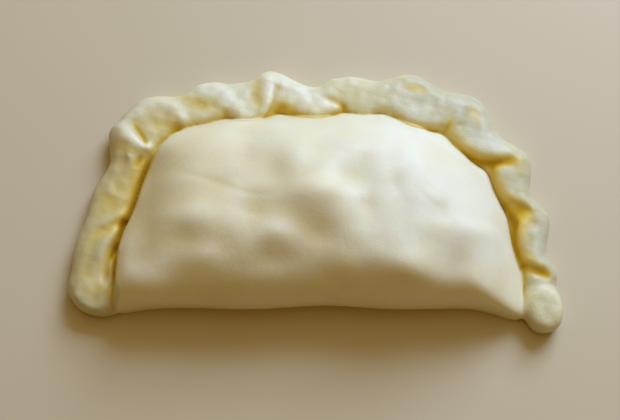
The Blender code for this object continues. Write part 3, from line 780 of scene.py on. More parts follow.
def relax(mesh, rounds, share, spots=None):
    """Smooth the mesh's points above the floor, everywhere or round some spots of a given radius."""
    points = read_points(mesh)
    amount = (points[:, 2] > OFF_FLOOR).astype(float)
    if spots:
        amount *= sum(np.exp(-(np.hypot(points[:, 0] - x, points[:, 1] - y) / radius) ** 2)
                      for x, y, radius in spots).clip(0.0, 1.0)
    points += (averaged(mesh, points, rounds, share) - points) * amount[:, None]
    mesh.vertices.foreach_set("co", points.astype(np.float32).ravel())
    mesh.update()


def smoothstep(low, high, value):
    """Return 0 at low, 1 at high, and between them 3 t ** 2 - 2 t ** 3 of the share t of the way."""
    t = np.clip((value - low) / (high - low), 0.0, 1.0)
    return t * t * (3 - 2 * t)

# %% Put the skin on the plain forms
FOOT_HEIGHT = 0.5             # a point that is lower than this belongs to the foot of a side
# Over each of these ranges a share goes from 0 to 1.
FACING_UP = (0.35, 0.7)       # the upward part of a point's normal
NEAR_EDGE = (0.6, 1.6)        # distance inside the outer edge, for the points that face up,
INSIDE_EDGE = (1.5, 2.5)      # and for the others
BEHIND_FOLD = (2.5, 5.0)      # distance behind the front fold


def put_on_plain_forms(mesh):
    """Put the upper points exactly on the plain forms, and return each one's crimp coordinates.

    Near the outline only points that face up are moved. Further in, every point above the
    floor is part of the upper skin, however steep it is there.
    """
    points = read_points(mesh)
    x, y, z = points.T.copy()
    station, outward = crimp_coordinates(x, y)
    plain = plain_top(x, y, station, outward)
    within = eased(OUTER_EDGE, station) - outward
    upper = smoothstep(*FACING_UP, read_normals(mesh)[:, 2]) * smoothstep(*NEAR_EDGE, within)
    interior = smoothstep(*INSIDE_EDGE, within) * smoothstep(*BEHIND_FOLD, y - front_line(x))
    interior = interior * (z > FOOT_HEIGHT)
    points[:, 2] = z + (plain - z) * np.maximum(upper, interior)
    mesh.vertices.foreach_set("co", points.astype(np.float32).ravel())
    mesh.update()
    return station, outward, plain

# %% Press the lumps and pleats into it
RUMPLE_WAVES = 14
# Height, shortest and longest wave and seed of the general unevenness.
CRIMP_RUMPLE = (0.08, 2.2, 5.0, 3)
POCKET_RUMPLE = (0.12, 7.0, 15.0, 5)
SEAM_EASE = 0.8               # half the width over which the crimp changes into the pocket
POCKET_FADE = 1.6             # the filling's lumps come in over this distance from the seam
EDGE_SHARE = 0.3              # share of their height that the pleats keep at the outer edge,
EDGE_RANGE = (0.8, 3.0)       # and the distances inside it between which they get the rest
LEAST_PLAIN = 3.0             # nearer the floor than this, a point moves by less than its share
LEAST_SHARE = 0.3             # no point sinks to less than this share of its height


def rumple(x, y, shortest, longest, seed):
    """Return a gentle unevenness: the sum of waves of random directions and lengths, within about 1."""
    random = np.random.default_rng(seed)
    total = np.zeros_like(x)
    for _ in range(RUMPLE_WAVES):
        heading, phase = random.uniform(0.0, 2 * math.pi, 2)
        pitch = 2 * math.pi / random.uniform(shortest, longest)
        total += np.sin(pitch * (x * math.cos(heading) + y * math.sin(heading)) + phase)
    return total / math.sqrt(RUMPLE_WAVES)


def sculpt(mesh, station, outward, plain):
    """Move the skin's points up or down by the lumps and pleats.

    Each point is scaled in height by the share that the sculpted height is of the plain one,
    so the sides follow the top.
    """
    points = read_points(mesh)
    x, y, z = points.T.copy()
    from_seam = outward + eased(SEAM, station)
    relief = np.zeros(len(z))
    rise, _ = pocket_rise(x, y, POCKET_INSET)
    add_bumps(relief, x, y, FILLING)
    relief *= rise
    add_bumps(relief, x, y, FULLNESS)
    add_ridges(relief, x, y, WRINKLES)
    relief *= smoothstep(0.0, POCKET_FADE, -from_seam)
    pleats = np.zeros(len(z))
    add_lips(pleats, station, outward, LIPS)
    add_ridges(pleats, station, outward, RIDGES)
    add_bumps(pleats, station, outward, DENTS)
    within = eased(OUTER_EDGE, station) - outward
    relief += pleats * (EDGE_SHARE + (1 - EDGE_SHARE) * smoothstep(*EDGE_RANGE, within))
    on_crimp = smoothstep(-SEAM_EASE, SEAM_EASE, from_seam)
    for (amount, *waves), where in ((CRIMP_RUMPLE, on_crimp), (POCKET_RUMPLE, rise)):
        relief += amount * rumple(x, y, *waves) * where
    z *= np.clip(1 + relief / np.clip(plain, LEAST_PLAIN, None), LEAST_SHARE, None)
    points[:, 2] = z
    mesh.vertices.foreach_set("co", points.astype(np.float32).ravel())
    mesh.update()

# %% Sculpt the skin
# Where the lobes are pressed on to the pocket: place and radius.
PRESSED = (
    (-59.5, -16.5, 4.0), (-51.5, -21.0, 4.5), (-51.5, -25.5, 6.0), (53.0, -11.5, 2.5),
    (53.6, -16.0, 3.0), (54.2, -21.0, 3.5), (54.5, -26.5, 3.5), (63.6, -20.4, 2.4),
)
PRESSING = (60, 0.5)          # rounds and share of the smoothing there,
SOFTENING = (4, 0.4)          # and of the last one everywhere
station, outward, plain = put_on_plain_forms(dough.data)
relax(dough.data, *PRESSING, PRESSED)
sculpt(dough.data, station, outward, plain)
relax(dough.data, *SOFTENING)
print("sculpted, top at", round(read_points(dough.data)[:, 2].max(), 2), "mm")

# %% [markdown]
# ## Painted shade and light on the skin
#
# The creases and hollows have their shade painted into the colour, amber in the creases and yellow
# in the hollows, and the crests have painted light. Six values, each from 0 to 1, are kept at each
# point of the skin for the material to read:
#
# - the crease value is painted shade, 1 in the folds. It is found from the shape, as how far a point
#   lies below the mean of its surroundings, and from lines drawn along the gaps between the pleats.
# - the deep value is darker painted shade, high only where those lines are deepest.
# - the hollow value is painted yellow shade in wide, shallow places, in drawn patches, and at the
#   left end of the dough.
# - rim is 1 on the crimp and its lobes, and 0 on the pocket.
# - the light value is painted light, high on the crests and on the right of the pocket.
# - the end value is painted shade, high on the crimp towards its ends.

# %% Where the painted shade of the creases is drawn
# Width, then station, distance outside the path and depth of the painted shade.
CREASE_SHADE_LINES = (
    (0.5, ((4.5, -3.0, 0.1), (6.0, -3.8, 0.3), (8.0, -4.3, 0.4), (10.0, -4.2, 0.4), (14.0, -4.6, 0.6))),
    (0.5, ((3.8, -4.6, 0.1), (4.5, -5.6, 0.3), (6.0, -6.0, 0.4), (9.0, -6.2, 0.4), (13.5, -5.8, 0.6))),
    (1.3, ((13.0, -4.9, 0.4), (15.4, -4.9, 0.9), (18.0, -5.3, 1.0), (21.0, -5.5, 1.0),
           (24.0, -5.5, 1.1))),
    (0.7, ((13.8, -4.9, 0.5), (15.4, -4.9, 1.0), (17.4, -5.3, 0.8), (19.0, -5.7, 0.2))),
    (1.8, ((22.0, -5.5, 0.6), (24.0, -5.4, 1.0), (28.0, -5.9, 1.1), (33.0, -5.7, 1.1),
           (37.0, -5.4, 1.1), (41.0, -5.4, 1.1), (44.0, -5.2, 0.6))),
    (0.7, ((20.0, -5.9, 0.2), (24.0, -6.0, 0.2), (28.0, -6.5, 0.5), (33.0, -6.3, 0.5),
           (38.0, -6.0, 0.5), (42.0, -5.9, 0.4))),
    (0.8, ((22.5, -3.6, 0.1), (23.6, -5.0, 0.3))),
    (0.7, ((39.4, -2.9, 0.1), (41.0, -3.2, 0.5), (43.2, -3.3, 0.3))),
    (0.5, ((49.6, 2.6, 0.2), (48.4, -0.4, 0.6), (47.1, -2.8, 0.4))),
    (1.3, ((55.5, -5.8, 0.2), (58.0, -5.9, 0.7), (60.0, -6.3, 0.9), (62.0, -6.6, 0.2))),
    (0.5, ((67.0, -6.9, 0.3), (70.0, -6.9, 0.4), (73.0, -6.4, 0.4))),
    (0.7, ((74.4, -3.6, 0.1), (74.8, -5.0, 0.4), (75.6, -6.2, 0.3))),
    (0.4, ((88.6, 0.6, 0.3), (88.4, -1.6, 0.4), (87.2, -4.2, 0.5), (85.6, -6.4, 0.4))),
    (1.4, ((87.2, -5.2, 0.4), (89.0, -4.4, 0.9), (90.4, -4.0, 1.0), (92.4, -4.9, 0.9),
           (94.2, -6.4, 0.4))),
    (0.6, ((94.5, -7.1, 0.5), (98.0, -7.7, 0.5), (101.0, -7.8, 0.5), (104.0, -7.0, 0.6),
           (106.6, -5.6, 0.6))),
    (0.7, ((105.4, -3.2, 0.2), (107.2, -4.2, 0.9), (108.4, -5.2, 0.3))),
    (0.6, ((117.0, -4.7, 0.1), (120.0, -4.7, 0.2), (121.6, -5.2, 0.3), (122.8, -6.4, 0.3))),
    (0.6, ((123.0, -6.8, 0.4), (126.0, -7.7, 0.5), (130.0, -7.8, 0.5), (134.0, -7.0, 0.6),
           (137.0, -6.0, 0.6))),
    (0.9, ((124.4, 3.1, 0.1), (126.2, 2.9, 0.5), (128.0, 2.9, 0.1))),
    (0.7, ((138.5, -1.6, 0.1), (138.8, -3.4, 0.4), (139.0, -5.4, 0.4))),
    (1.2, ((143.0, -6.6, 0.4), (147.0, -6.4, 0.7), (150.5, -5.6, 1.2), (153.6, -4.4, 1.3),
           (155.9, -2.3, 1.3), (157.0, 0.2, 1.0), (157.8, 2.6, 0.5))),
    (1.5, ((154.0, -3.4, 0.2), (156.0, -1.4, 0.5), (157.2, 0.8, 0.5), (158.2, 3.0, 0.3))),
    (0.9, ((157.2, -2.8, 0.8), (159.6, -3.8, 0.8), (162.4, -4.5, 0.7), (166.0, -4.5, 0.8),
           (169.0, -4.0, 1.0), (172.0, -3.6, 1.0))),
    (2.5, ((168.4, -2.8, 0.5), (171.2, -0.8, 1.0), (173.2, -2.0, 0.8))),
    (1.2, ((172.0, -3.0, 1.1), (175.0, -3.5, 1.4), (178.0, -4.2, 1.4), (182.0, -4.6, 1.3),
           (186.0, -3.9, 1.1))),
    (1.1, ((186.4, -3.2, 0.8), (188.0, -1.2, 0.9), (189.4, 1.4, 0.9))),
    (0.4, ((188.0, -3.9, 0.5), (191.0, -4.2, 0.5), (195.0, -5.2, 0.5), (199.0, -6.2, 0.3))),
)

# %% Where the painted shade of the hollows, and the painted light, are drawn
# The same for the wide yellow patches of painted shade in the hollows and on the flanks of the pleats.
SHADED_HOLLOWS = (
    (2.0, ((3.6, -4.2, 0.3), (8.0, -5.2, 0.4), (14.0, -5.0, 0.5))),
    (2.6, ((14.0, -4.6, 0.4), (18.0, -5.0, 0.6), (24.0, -5.0, 0.8), (30.0, -5.4, 0.8),
           (37.0, -5.0, 0.8), (44.0, -5.0, 0.6))),
    (1.4, ((16.0, 2.2, 0.1), (19.5, -0.4, 0.4), (22.4, -3.4, 0.6), (24.0, -5.2, 0.7))),
    (2.2, ((27.4, 0.8, 0.2), (29.0, 0.4, 0.4), (31.0, -0.6, 0.2))),
    (1.0, ((3.2, 3.0, 0.2), (3.6, 0.5, 0.4), (4.0, -2.0, 0.3))),
    (1.2, ((43.9, 4.4, 0.5), (43.6, 1.6, 0.5), (43.4, -1.0, 0.5), (42.8, -3.0, 0.7),
           (39.5, -2.9, 0.6))),
    (0.9, ((50.0, 3.2, 0.5), (49.6, 1.4, 0.6), (48.6, -1.0, 0.4))),
    (2.0, ((51.0, -3.8, 0.3), (54.6, -2.8, 0.4), (57.2, -3.8, 0.6), (59.4, -5.4, 0.9))),
    (2.1, ((63.6, 1.8, 0.5), (66.2, 0.4, 0.7), (69.0, -1.6, 0.8), (71.6, -3.2, 0.6))),
    (1.0, ((74.2, -3.2, 0.4), (74.8, -4.8, 0.8), (75.8, -6.2, 0.5))),
    (1.7, ((84.0, 4.2, 0.7), (84.0, 1.5, 0.8), (84.2, -1.8, 0.7), (84.0, -4.6, 0.5))),
    (0.9, ((88.9, 2.2, 0.4), (89.7, 1.5, 0.6), (90.2, 0.6, 0.4))),
    (1.9, ((87.6, -5.2, 0.5), (90.3, -3.6, 1.0), (93.0, -5.0, 0.8), (95.4, -6.6, 0.5))),
    (1.1, ((95.0, -7.0, 0.5), (100.0, -7.5, 0.6), (104.5, -6.4, 0.6), (107.4, -4.6, 0.8))),
    (0.9, ((102.8, -1.6, 0.5), (105.0, -2.7, 0.6), (107.2, -4.1, 0.9), (108.6, -5.2, 0.4))),
    (2.5, ((103.5, 1.5, 0.3), (107.0, 0.0, 0.35), (110.5, -2.0, 0.3))),
    (0.8, ((116.6, -4.6, 0.4), (119.0, -4.3, 0.6), (121.4, -4.7, 0.6), (122.8, -5.8, 0.4))),
    (2.2, ((112.0, 4.2, 0.1), (118.0, 4.4, 0.25), (125.0, 6.6, 0.35), (132.0, 5.2, 0.35),
           (140.0, 7.6, 0.3), (148.0, 4.6, 0.2))),
    (2.4, ((130.0, -2.6, 0.1), (134.0, -3.4, 0.35), (138.0, -2.8, 0.5), (142.0, -3.6, 0.35))),
    (1.3, ((123.6, 3.2, 0.6), (126.0, 3.1, 1.0), (128.4, 3.0, 0.7))),
    (1.3, ((124.0, -6.8, 0.5), (128.0, -7.3, 0.7), (132.0, -6.8, 0.7), (136.0, -5.8, 0.9),
           (138.5, -4.8, 0.9))),
    (1.2, ((138.5, -1.4, 0.6), (138.9, -3.2, 0.7), (139.0, -5.0, 0.8))),
    (1.8, ((140.8, 4.8, 0.5), (142.4, 3.8, 0.8), (144.0, 2.8, 0.5))),
    (2.2, ((142.0, -5.4, 0.7), (146.0, -5.6, 1.2), (150.0, -4.6, 1.3), (153.0, -3.2, 1.4),
           (155.2, -1.4, 1.6), (156.6, 0.8, 1.4), (157.6, 2.8, 1.3), (158.8, 4.4, 1.2),
           (161.6, 3.4, 0.6))),
    (2.0, ((157.4, -2.8, 1.0), (161.0, -3.4, 1.3), (165.0, -3.7, 1.4), (168.4, -2.8, 1.4))),
    (2.6, ((169.0, -2.2, 1.2), (171.6, -0.4, 1.6), (173.8, -1.4, 1.4))),
    (2.6, ((173.4, -2.2, 1.3), (177.0, -3.0, 1.3), (182.0, -3.4, 1.4), (186.0, -2.8, 1.4))),
    (2.0, ((186.4, -2.2, 1.3), (187.4, -0.2, 1.4), (188.6, 1.6, 1.3), (190.2, 3.0, 0.9))),
    (0.8, ((189.0, -3.8, 0.4), (195.0, -5.0, 0.4), (199.0, -6.0, 0.4))),
)
# The same for the crests, which get painted light.
LIT_CRESTS = (
    (1.7, ((48.6, 6.4, 0.5), (47.6, 4.4, 0.8), (46.6, 2.0, 0.9), (46.0, -1.0, 0.8), (46.2, -4.0, 0.7))),
    (2.0, ((49.5, 6.0, 0.5), (53.0, 5.0, 0.6), (57.0, 2.6, 0.5), (60.5, 0.5, 0.5), (62.6, -3.0, 0.5))),
    (0.9, ((40.2, -1.8, 0.4), (41.6, -0.6, 0.5), (42.8, 0.6, 0.3))),
    (2.6, ((71.0, 3.0, 0.5), (74.0, 1.4, 0.7), (77.0, -1.5, 0.7), (80.0, -5.0, 0.5))),
    (1.6, ((87.0, 5.4, 0.7), (87.0, 2.5, 0.7), (86.8, -1.0, 0.5), (85.8, -4.0, 0.4))),
    (3.0, ((91.0, 3.0, 0.5), (95.0, 0.5, 0.7), (99.0, -2.0, 0.7), (102.5, -4.0, 0.7))),
    (3.0, ((121.0, -1.0, 0.2), (125.0, -2.5, 0.3), (130.0, -3.5, 0.3), (135.0, -2.0, 0.2))),
    (2.0, ((136.5, 3.5, 0.3), (138.5, 2.0, 0.3), (139.5, 0.0, 0.2))),
    (2.4, ((144.0, -2.0, 0.2), (148.0, -2.0, 0.3), (152.0, 1.0, 0.3), (156.0, 5.0, 0.2))),
    (1.8, ((176.0, 3.6, 0.2), (181.0, 0.8, 0.3), (184.0, -0.8, 0.3))),
)

# Single patches of painted shade on the pocket: place in x and y, half sizes, turn, and how much
# yellower.
SHADE_TINTS = (
    ((0.5, -4.0), (6.5, 7.0), 0.0, 0.24),
    ((-51.5, -25.0), (4.5, 4.5), 0.0, -0.5),
)
# Lines of painted crease shade, patches of painted hollow shade, and crests with painted light.
print(len(CREASE_SHADE_LINES), "creases,", len(SHADED_HOLLOWS), "thin places,", len(LIT_CRESTS), "pale ones")

# %% How deep each point lies, and on which part
CAVITY_ROUNDS = 26
CAVITY_SHADE_GAIN = 0.9             # painted crease shade for each millimetre below the surroundings
HOLLOW_ROUNDS = 110           # the same, for wide hollows
HOLLOW_SHADE_GAIN = 0.8
AVERAGING = 0.5               # share of the way to its neighbours' mean, in each round
LOBE_RANGE = (1.1, 0.9)       # reach between which a point comes to belong to a lobe
skin_points = read_points(dough.data)
skin_x, skin_y = skin_points[:, 0], skin_points[:, 1]
normals = read_normals(dough.data)
near_mean = averaged(dough.data, skin_points, CAVITY_ROUNDS, AVERAGING)
wide_mean = averaged(dough.data, near_mean, HOLLOW_ROUNDS, AVERAGING)
below = np.sum((near_mean - skin_points) * normals, axis=1)
wide_below = np.sum((wide_mean - skin_points) * normals, axis=1)
from_seam = outward + eased(SEAM, station)
on_lobes = [smoothstep(*LOBE_RANGE, lobe_reach(skin_x, skin_y, row)) for row in LOBES]
on_rim = np.maximum.reduce([smoothstep(-SEAM_EASE, SEAM_EASE, from_seam), *on_lobes])
print("deepest point", round(below.max(), 2), "mm below its surroundings")

# %% The drawn values
POCKET_SHARE = 0.25           # share of its painted shade that a crease throws on the pocket's side
SIDE_RANGE = (-0.9, 0.0)      # distances outside the seam between which it gets the whole of it
CREASE_GAIN = 0.8
CREASE_LIMIT = 1.2            # where lines cross, they count together up to this much
DEEP_GAIN = 0.8
DEEP_RANGE = (0.9, 1.8)       # the drawn values between which a crease gets the darker, deep painted shade


def drawn_values(rows):
    """Return the sum of some ridges of colour over the skin."""
    values = np.zeros(len(skin_points))
    add_ridges(values, station, outward, rows)
    return values


drawn_crease_shade, drawn_hollow_shade, painted_light = drawn_values(CREASE_SHADE_LINES), drawn_values(SHADED_HOLLOWS), drawn_values(LIT_CRESTS)
crimp_side = POCKET_SHARE + (1 - POCKET_SHARE) * smoothstep(*SIDE_RANGE, from_seam)
# Painted shade in the creases: the drawn lines, plus how far each point lies below its surroundings.
crease_shade = np.clip(drawn_crease_shade, 0.0, CREASE_LIMIT) * CREASE_GAIN + CAVITY_SHADE_GAIN * below
crease_shade = np.clip(crease_shade, 0.0, 1.0) * crimp_side
deep_crease_shade = DEEP_GAIN * smoothstep(*DEEP_RANGE, drawn_crease_shade)
print("deep crease on", int((crease_shade > 0.6).sum()), "of", len(crease_shade), "points")

# %% Painted shade and painted light from end to end
# Each change below runs between two places in X or in Y, in millimetres.
LEFT_SHADE_TINT = 0.42              # painted shade: how much yellower the dough is made at the left end,
LEFT_RIM_SHADE_TINT = 0.25          # how much more on the crimp there,
LEFT_FRONT_SHADE_TINT = -0.32       # on the pocket's front corner there,
MIDDLE_SHADE_TINT = 0.14            # and on the left half of the pocket
POCKET_PAINTED_LIGHT = 0.5
LEFT_END_SHADE = 0.9
HOLLOW_SHADE_LIMIT = 1.6              # where patches of painted hollow shade cross, they count together up to this much
HOLLOW_SHADE_AGAINST_LIGHT = 0.5       # how much of the hollow shade is taken off the painted light
on_pocket = 1 - on_rim
# The left end lies away from the light, so it gets painted shade as a yellower colour.
left_end = smoothstep(-12.0, -52.0, skin_x)
end_shade_tint = LEFT_SHADE_TINT * left_end + LEFT_RIM_SHADE_TINT * on_rim * smoothstep(-46.0, -54.0, skin_x)
end_shade_tint += LEFT_FRONT_SHADE_TINT * left_end * on_pocket * smoothstep(-8.0, -20.0, skin_y)
left_half = smoothstep(12.0, -6.0, skin_x) * smoothstep(-48.0, -30.0, skin_x)
end_shade_tint += MIDDLE_SHADE_TINT * on_pocket * left_half
add_bumps(end_shade_tint, skin_x, skin_y, SHADE_TINTS)
# Painted yellow shade in the hollows: the drawn patches, the wide hollows of the shape, and the tint
# from end to end.
hollow_shade = np.clip(drawn_hollow_shade * crimp_side, 0.0, HOLLOW_SHADE_LIMIT) + HOLLOW_SHADE_GAIN * wide_below + end_shade_tint
hollow_shade = np.clip(hollow_shade, 0.0, 1.0)
# Painted light on the right of the pocket, where the light falls, and on the crests.
lit_pocket = POCKET_PAINTED_LIGHT * on_pocket * smoothstep(-4.0, 26.0, skin_x) * smoothstep(-22.0, -12.0, skin_y)
painted_light = np.maximum(np.clip(painted_light - crease_shade - HOLLOW_SHADE_AGAINST_LIGHT * hollow_shade, 0.0, 1.0), lit_pocket)
# Painted shade on the crimp over its right half and at its left end.
end_shade = smoothstep(8.0, 34.0, skin_x) * (1 - on_lobes[1])
end_shade = on_rim * (end_shade + LEFT_END_SHADE * smoothstep(-42.0, -52.0, skin_x))

VALUES = {"crease_shade": crease_shade, "deep_crease_shade": deep_crease_shade, "hollow_shade": hollow_shade, "rim": on_rim, "painted_light": painted_light, "end_shade": end_shade}
for name, values in VALUES.items():
    kept = dough.data.attributes.new(name, "FLOAT", "POINT")
    kept.data.foreach_set("value", values.astype(np.float32))
print({name: round(float(values.mean()), 3) for name, values in VALUES.items()})

# %% Put it in the shared frame
final = (read_points(dough.data) + np.array(DRAWING_SHIFT)) * METRES
dough.data.vertices.foreach_set("co", final.astype(np.float32).ravel())
dough.data.update()
dough.data.shade_smooth()
print("skin from", final.min(axis=0).round(4), "to", final.max(axis=0).round(4))

# %% [markdown]
# ## Raw dough
#
# Raw wheat dough is a soft, cloudy solid. Most of the light enters it and comes out a few
# millimetres away, the red light furthest, so its shadows are warm and its edges soft. Fat
# leaves faint butter-yellow clouds in it. The skin is dull where the filling stretches it, and
# satin on the crimp, where fingers have pressed it.

# %% Small helpers for materials
def linear(hex_colour):
    """Turn an sRGB hex colour into linear RGBA, by the power law of sRGB with its straight foot."""
    parts = [int(hex_colour[i:i + 2], 16) / 255 for i in (1, 3, 5)]
    return (*(p / 12.92 if p <= 0.04045 else ((p + 0.055) / 1.055) ** 2.4 for p in parts), 1.0)


def add_node(tree, kind, settings=None, inputs=None):
    """Add a node with its settings, and set or link its inputs, given by name or by number."""
    node = tree.nodes.new(kind)
    for name, value in (settings or {}).items():
        setattr(node, name, value)
    for name, value in (inputs or {}).items():
        socket = node.inputs[name]
        if isinstance(value, bpy.types.NodeSocket):
            tree.links.new(value, socket)
        else:
            socket.default_value = value
    return node

# %% The dough's colours and finish
CREAM = "#EFE7CA"
SHADED_CRIMP_CREAM = "#DFD9B2"       # the crimp, darkened as painted shade
CRIMP_END_SHADE_CREAM = "#CDC6A4"        # painted shade on the crimp near its ends
# painted light on the crests and on the lit right of the pocket
PAINTED_LIGHT_CREAM = "#F4F1E2"
FAT_AND_HOLLOW_SHADE_YELLOW = "#E0CA77"            # painted shade in hollows, and clouds of fat
CREASE_SHADE_AMBER = "#D9B52C"       # painted shade in a crease
DEEP_CREASE_SHADE = "#AE7C10"        # darker painted shade deep in one
DOUGH_IOR = 1.42              # between water and fat
DOUGH_ROUGHNESS = 0.52
RIM_ROUGHNESS = 0.46
COAT = 0.18                   # a thin film of moisture
COAT_ROUGHNESS = 0.4
SCATTER_MM = 1.5              # how far light travels in the dough,
SCATTER_SHARES = (1.0, 0.85, 0.4)   # for red, green and blue

material = bpy.data.materials.new("raw_dough")
material.use_nodes = True
tree = material.node_tree
shader = tree.nodes["Principled BSDF"]
for name, value in {
    "Base Color": linear(CREAM), "Roughness": DOUGH_ROUGHNESS, "IOR": DOUGH_IOR,
    "Subsurface Weight": 1.0, "Subsurface Radius": SCATTER_SHARES,
    "Subsurface Scale": SCATTER_MM * METRES, "Coat Roughness": COAT_ROUGHNESS,
}.items():
    shader.inputs[name].default_value = value
print(material.name, "scatters light over", SCATTER_MM, "mm")

# %% [markdown]
# ## What the material reads
#
# The material is a net of named signals. The first six are the values kept on the skin. Then
# come noise patterns in the dough, each with the size of its cells in millimetres: clouds of
# fat, the print of fingers, the grain of the dough. The real grain is finer than a pixel, so
# it is drawn as coarse as it needs to show.

# %% Values and patterns
object_place = add_node(tree, "ShaderNodeTexCoord").outputs["Object"]
signal = {
    name: add_node(tree, "ShaderNodeAttribute", {"attribute_name": name}).outputs["Fac"]
    for name in VALUES
}
# Size of a cell in mm, detail, roughness and distortion.
PATTERNS = {
    "fat": (16.0, 3.0, 0.55, 0.4),
    "shade patches": (7.0, 2.0, 0.5, 0.0),
    "finger prints": (4.0, 3.0, 0.5, 0.0),
    "coarse grain": (2.6, 2.0, 0.5, 0.0),
    "wrinkles": (1.5, 2.0, 0.5, 1.2),
    "fine grain": (0.55, 3.0, 0.6, 0.0),
}
for name, (cell, detail, roughness, distortion) in PATTERNS.items():
    signal[name] = add_node(tree, "ShaderNodeTexNoise", None, {
        "Vector": object_place, "Scale": 1.0 / (cell * METRES), "Detail": detail,
        "Roughness": roughness, "Distortion": distortion}).outputs["Fac"]
print("signals", sorted(signal))

# %% Signals made from them
# Signal, its range, and the range that it is turned into with an S-shaped change.
TURNED = {
    "clouds": ("fat", 0.42, 0.68, 0.0, 0.75),
    # The crimp's painted shade is patchy: this turns the patches into its amount.
    "shade patchiness": ("shade patches", 0.3, 0.7, 0.75, 1.0),
    "coat": ("crease_shade", 0.2, 0.8, COAT, 0.0),
    "specular": ("crease_shade", 0.2, 0.8, 0.5, 0.1),
    "prints": ("finger prints", 0.35, 0.65, 0.08, -0.08),
    "base roughness": ("rim", 0.0, 1.0, DOUGH_ROUGHNESS, RIM_ROUGHNESS),
}
for name, (source, low, high, to_low, to_high) in TURNED.items():
    signal[name] = add_node(tree, "ShaderNodeMapRange", {"interpolation_type": "SMOOTHSTEP"}, {
        "Value": signal[source], "From Min": low, "From Max": high,
        "To Min": to_low, "To Max": to_high}).outputs["Result"]

# Two signals, or a signal and a number, and what is done with them.
# The crimp's patchy darkening and the yellow of the hollows are painted shade; the clouds of fat are
# the dough's own.
COMBINED = {
    "crimp shade": ("MULTIPLY", "rim", "shade patchiness"),
    "faint clouds": ("MULTIPLY", "clouds", 0.25),
    "fat and hollow shade": ("MAXIMUM", "faint clouds", "hollow_shade"),
    "roughness": ("ADD", "base roughness", "prints"),
    "coarse relief": ("MULTIPLY", "coarse grain", 1.5),
    "grain": ("ADD", "fine grain", "coarse relief"),
    "rim wrinkles": ("MULTIPLY", "wrinkles", "rim"),
    "wrinkle relief": ("MULTIPLY", "rim wrinkles", 1.6),
    "relief": ("ADD", "grain", "wrinkle relief"),
}
for name, (operation, first, second) in COMBINED.items():
    signal[name] = add_node(tree, "ShaderNodeMath", {"operation": operation}, {
        0: signal[first], 1: signal.get(second, second)}).outputs["Value"]
print(len(signal), "signals")

# %% Colour, shine and grain
# The colour starts as cream, and each signal changes it towards a colour of its own.
# The crimp's darker cream and its end shade, the yellow of the hollows and the amber of the creases are
# painted shade, and the pale cream is painted light; the clouds of fat in the yellow are the dough's
# own.
COLOURING = (
    ("crimp shade", SHADED_CRIMP_CREAM), ("end_shade", CRIMP_END_SHADE_CREAM), ("painted_light", PAINTED_LIGHT_CREAM), ("fat and hollow shade", FAT_AND_HOLLOW_SHADE_YELLOW),
    ("crease_shade", CREASE_SHADE_AMBER), ("deep_crease_shade", DEEP_CREASE_SHADE),
)
BUMP_STRENGTH = 0.5
GRAIN_HEIGHT_MM = 0.1
skin_colour = linear(CREAM)
for name, colour in COLOURING:
    skin_colour = add_node(tree, "ShaderNodeMix", {"data_type": "RGBA"}, {
        0: signal[name], 6: skin_colour, 7: linear(colour)}).outputs[2]
bump = add_node(tree, "ShaderNodeBump", None, {
    "Strength": BUMP_STRENGTH, "Distance": GRAIN_HEIGHT_MM * METRES, "Height": signal["relief"]})
for name, source in {
    "Base Color": skin_colour, "Coat Weight": signal["coat"], "Specular IOR Level": signal["specular"],
    "Roughness": signal["roughness"], "Normal": bump.outputs["Normal"],
}.items():
    tree.links.new(source, shader.inputs[name])
print(len(tree.nodes), "nodes in", material.name)

# %% Hand the skin over
dough.data.materials.clear()
dough.data.materials.append(material)
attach(dough, "root")
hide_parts("empanada")
print(dough.name, "takes the place of the solid")

# %% [markdown]
# ## The floor, the camera and the light
#
# A plain pale floor throws warm light back on to the dough, and the camera looks down steeply.
# One large soft light, like a window behind and to the right, makes the relief show. A wide
# weak one stands for the ceiling, and the rest of the room is a dim warm glow that fills the
# shadows.

# %% Floor
FLOOR_HALF = 1.5
FLOOR_COLOUR = "#D4C5A6"
floor_corners = [(x * FLOOR_HALF, y * FLOOR_HALF, 0) for x, y in ((-1, -1), (1, -1), (1, 1), (-1, 1))]
floor_mesh = bpy.data.meshes.new("floor")
floor_mesh.from_pydata(floor_corners, [], [(0, 1, 2, 3)])
floor = bpy.data.objects.new("floor", floor_mesh)
bpy.context.scene.collection.objects.link(floor)
floor_material = bpy.data.materials.new("floor_paint")
floor_material.use_nodes = True
floor_paint = floor_material.node_tree.nodes["Principled BSDF"]
floor_paint.inputs["Base Color"].default_value = linear(FLOOR_COLOUR)
floor_mesh.materials.append(floor_material)
print("floor", 2 * FLOOR_HALF, "m wide")

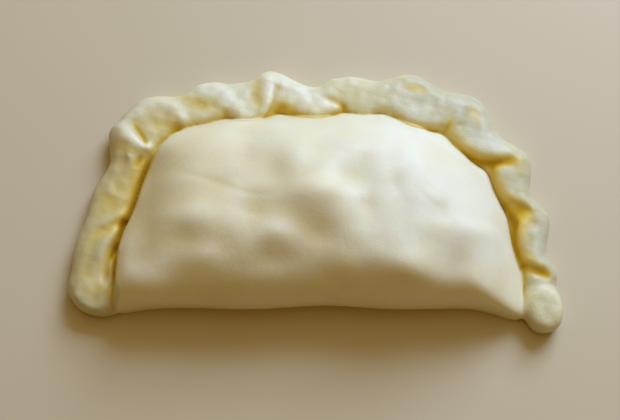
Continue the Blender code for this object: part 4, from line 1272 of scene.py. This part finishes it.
# %% Camera
CAMERA_TILT = math.radians(74.0)      # how far it looks down
CAMERA_DISTANCE = 390.0               # mm, as are the next two
TARGET = (-1.8, 0.0, 10.0)            # in the drawing frame
PIXEL = 0.264                         # size of a pixel at the target
FRAME_WIDTH = 620                     # pixels
SENSOR = 36.0
look = Vector((0.0, math.cos(CAMERA_TILT), -math.sin(CAMERA_TILT)))
camera_data = bpy.data.cameras.new("camera")
camera_data.sensor_width = SENSOR
camera_data.lens = CAMERA_DISTANCE / PIXEL / FRAME_WIDTH * SENSOR
camera_data.clip_start = 0.01
camera = bpy.data.objects.new("camera", camera_data)
bpy.context.scene.collection.objects.link(camera)
eye = (Vector(TARGET) + Vector(DRAWING_SHIFT) - look * CAMERA_DISTANCE) * METRES
right = Vector((1.0, 0.0, 0.0))
up = right.cross(look)
camera.matrix_world = Matrix.Translation(eye) @ Matrix((right, up, -look)).transposed().to_4x4()
bpy.context.scene.camera = camera
print("lens", round(camera_data.lens, 1), "mm")

# %% Light
# Place and side in metres, power in watts, and linear colour.
LIGHTS = {
    "window": ((0.34, 0.58, 0.52), 0.5, 8.86, (0.524, 0.694, 1.0)),
    "ceiling": ((0.15, 0.25, 0.85), 0.9, 1.6, (1.0, 0.92, 0.6)),
}
ROOM_COLOUR = (1.0, 0.6, 0.08, 1.0)
ROOM_STRENGTH = 0.2


def add_area(name, place, size, power, colour):
    """Add a square area light that faces the dough."""
    light = bpy.data.lights.new(name, "AREA")
    light.shape = "SQUARE"
    light.size = size
    light.energy = power
    light.color = colour
    obj = bpy.data.objects.new(name, light)
    bpy.context.scene.collection.objects.link(obj)
    facing = (-Vector(place)).to_track_quat("-Z", "Y").to_matrix().to_4x4()
    obj.matrix_world = Matrix.Translation(place) @ facing


for name, row in LIGHTS.items():
    add_area(name, *row)
world = bpy.data.worlds.new("room")
bpy.context.scene.world = world
world.use_nodes = True
background = world.node_tree.nodes["Background"]
background.inputs["Color"].default_value = ROOM_COLOUR
background.inputs["Strength"].default_value = ROOM_STRENGTH
bpy.context.scene.view_settings.view_transform = "Standard"
print("lit by", sorted(LIGHTS), "and the room")
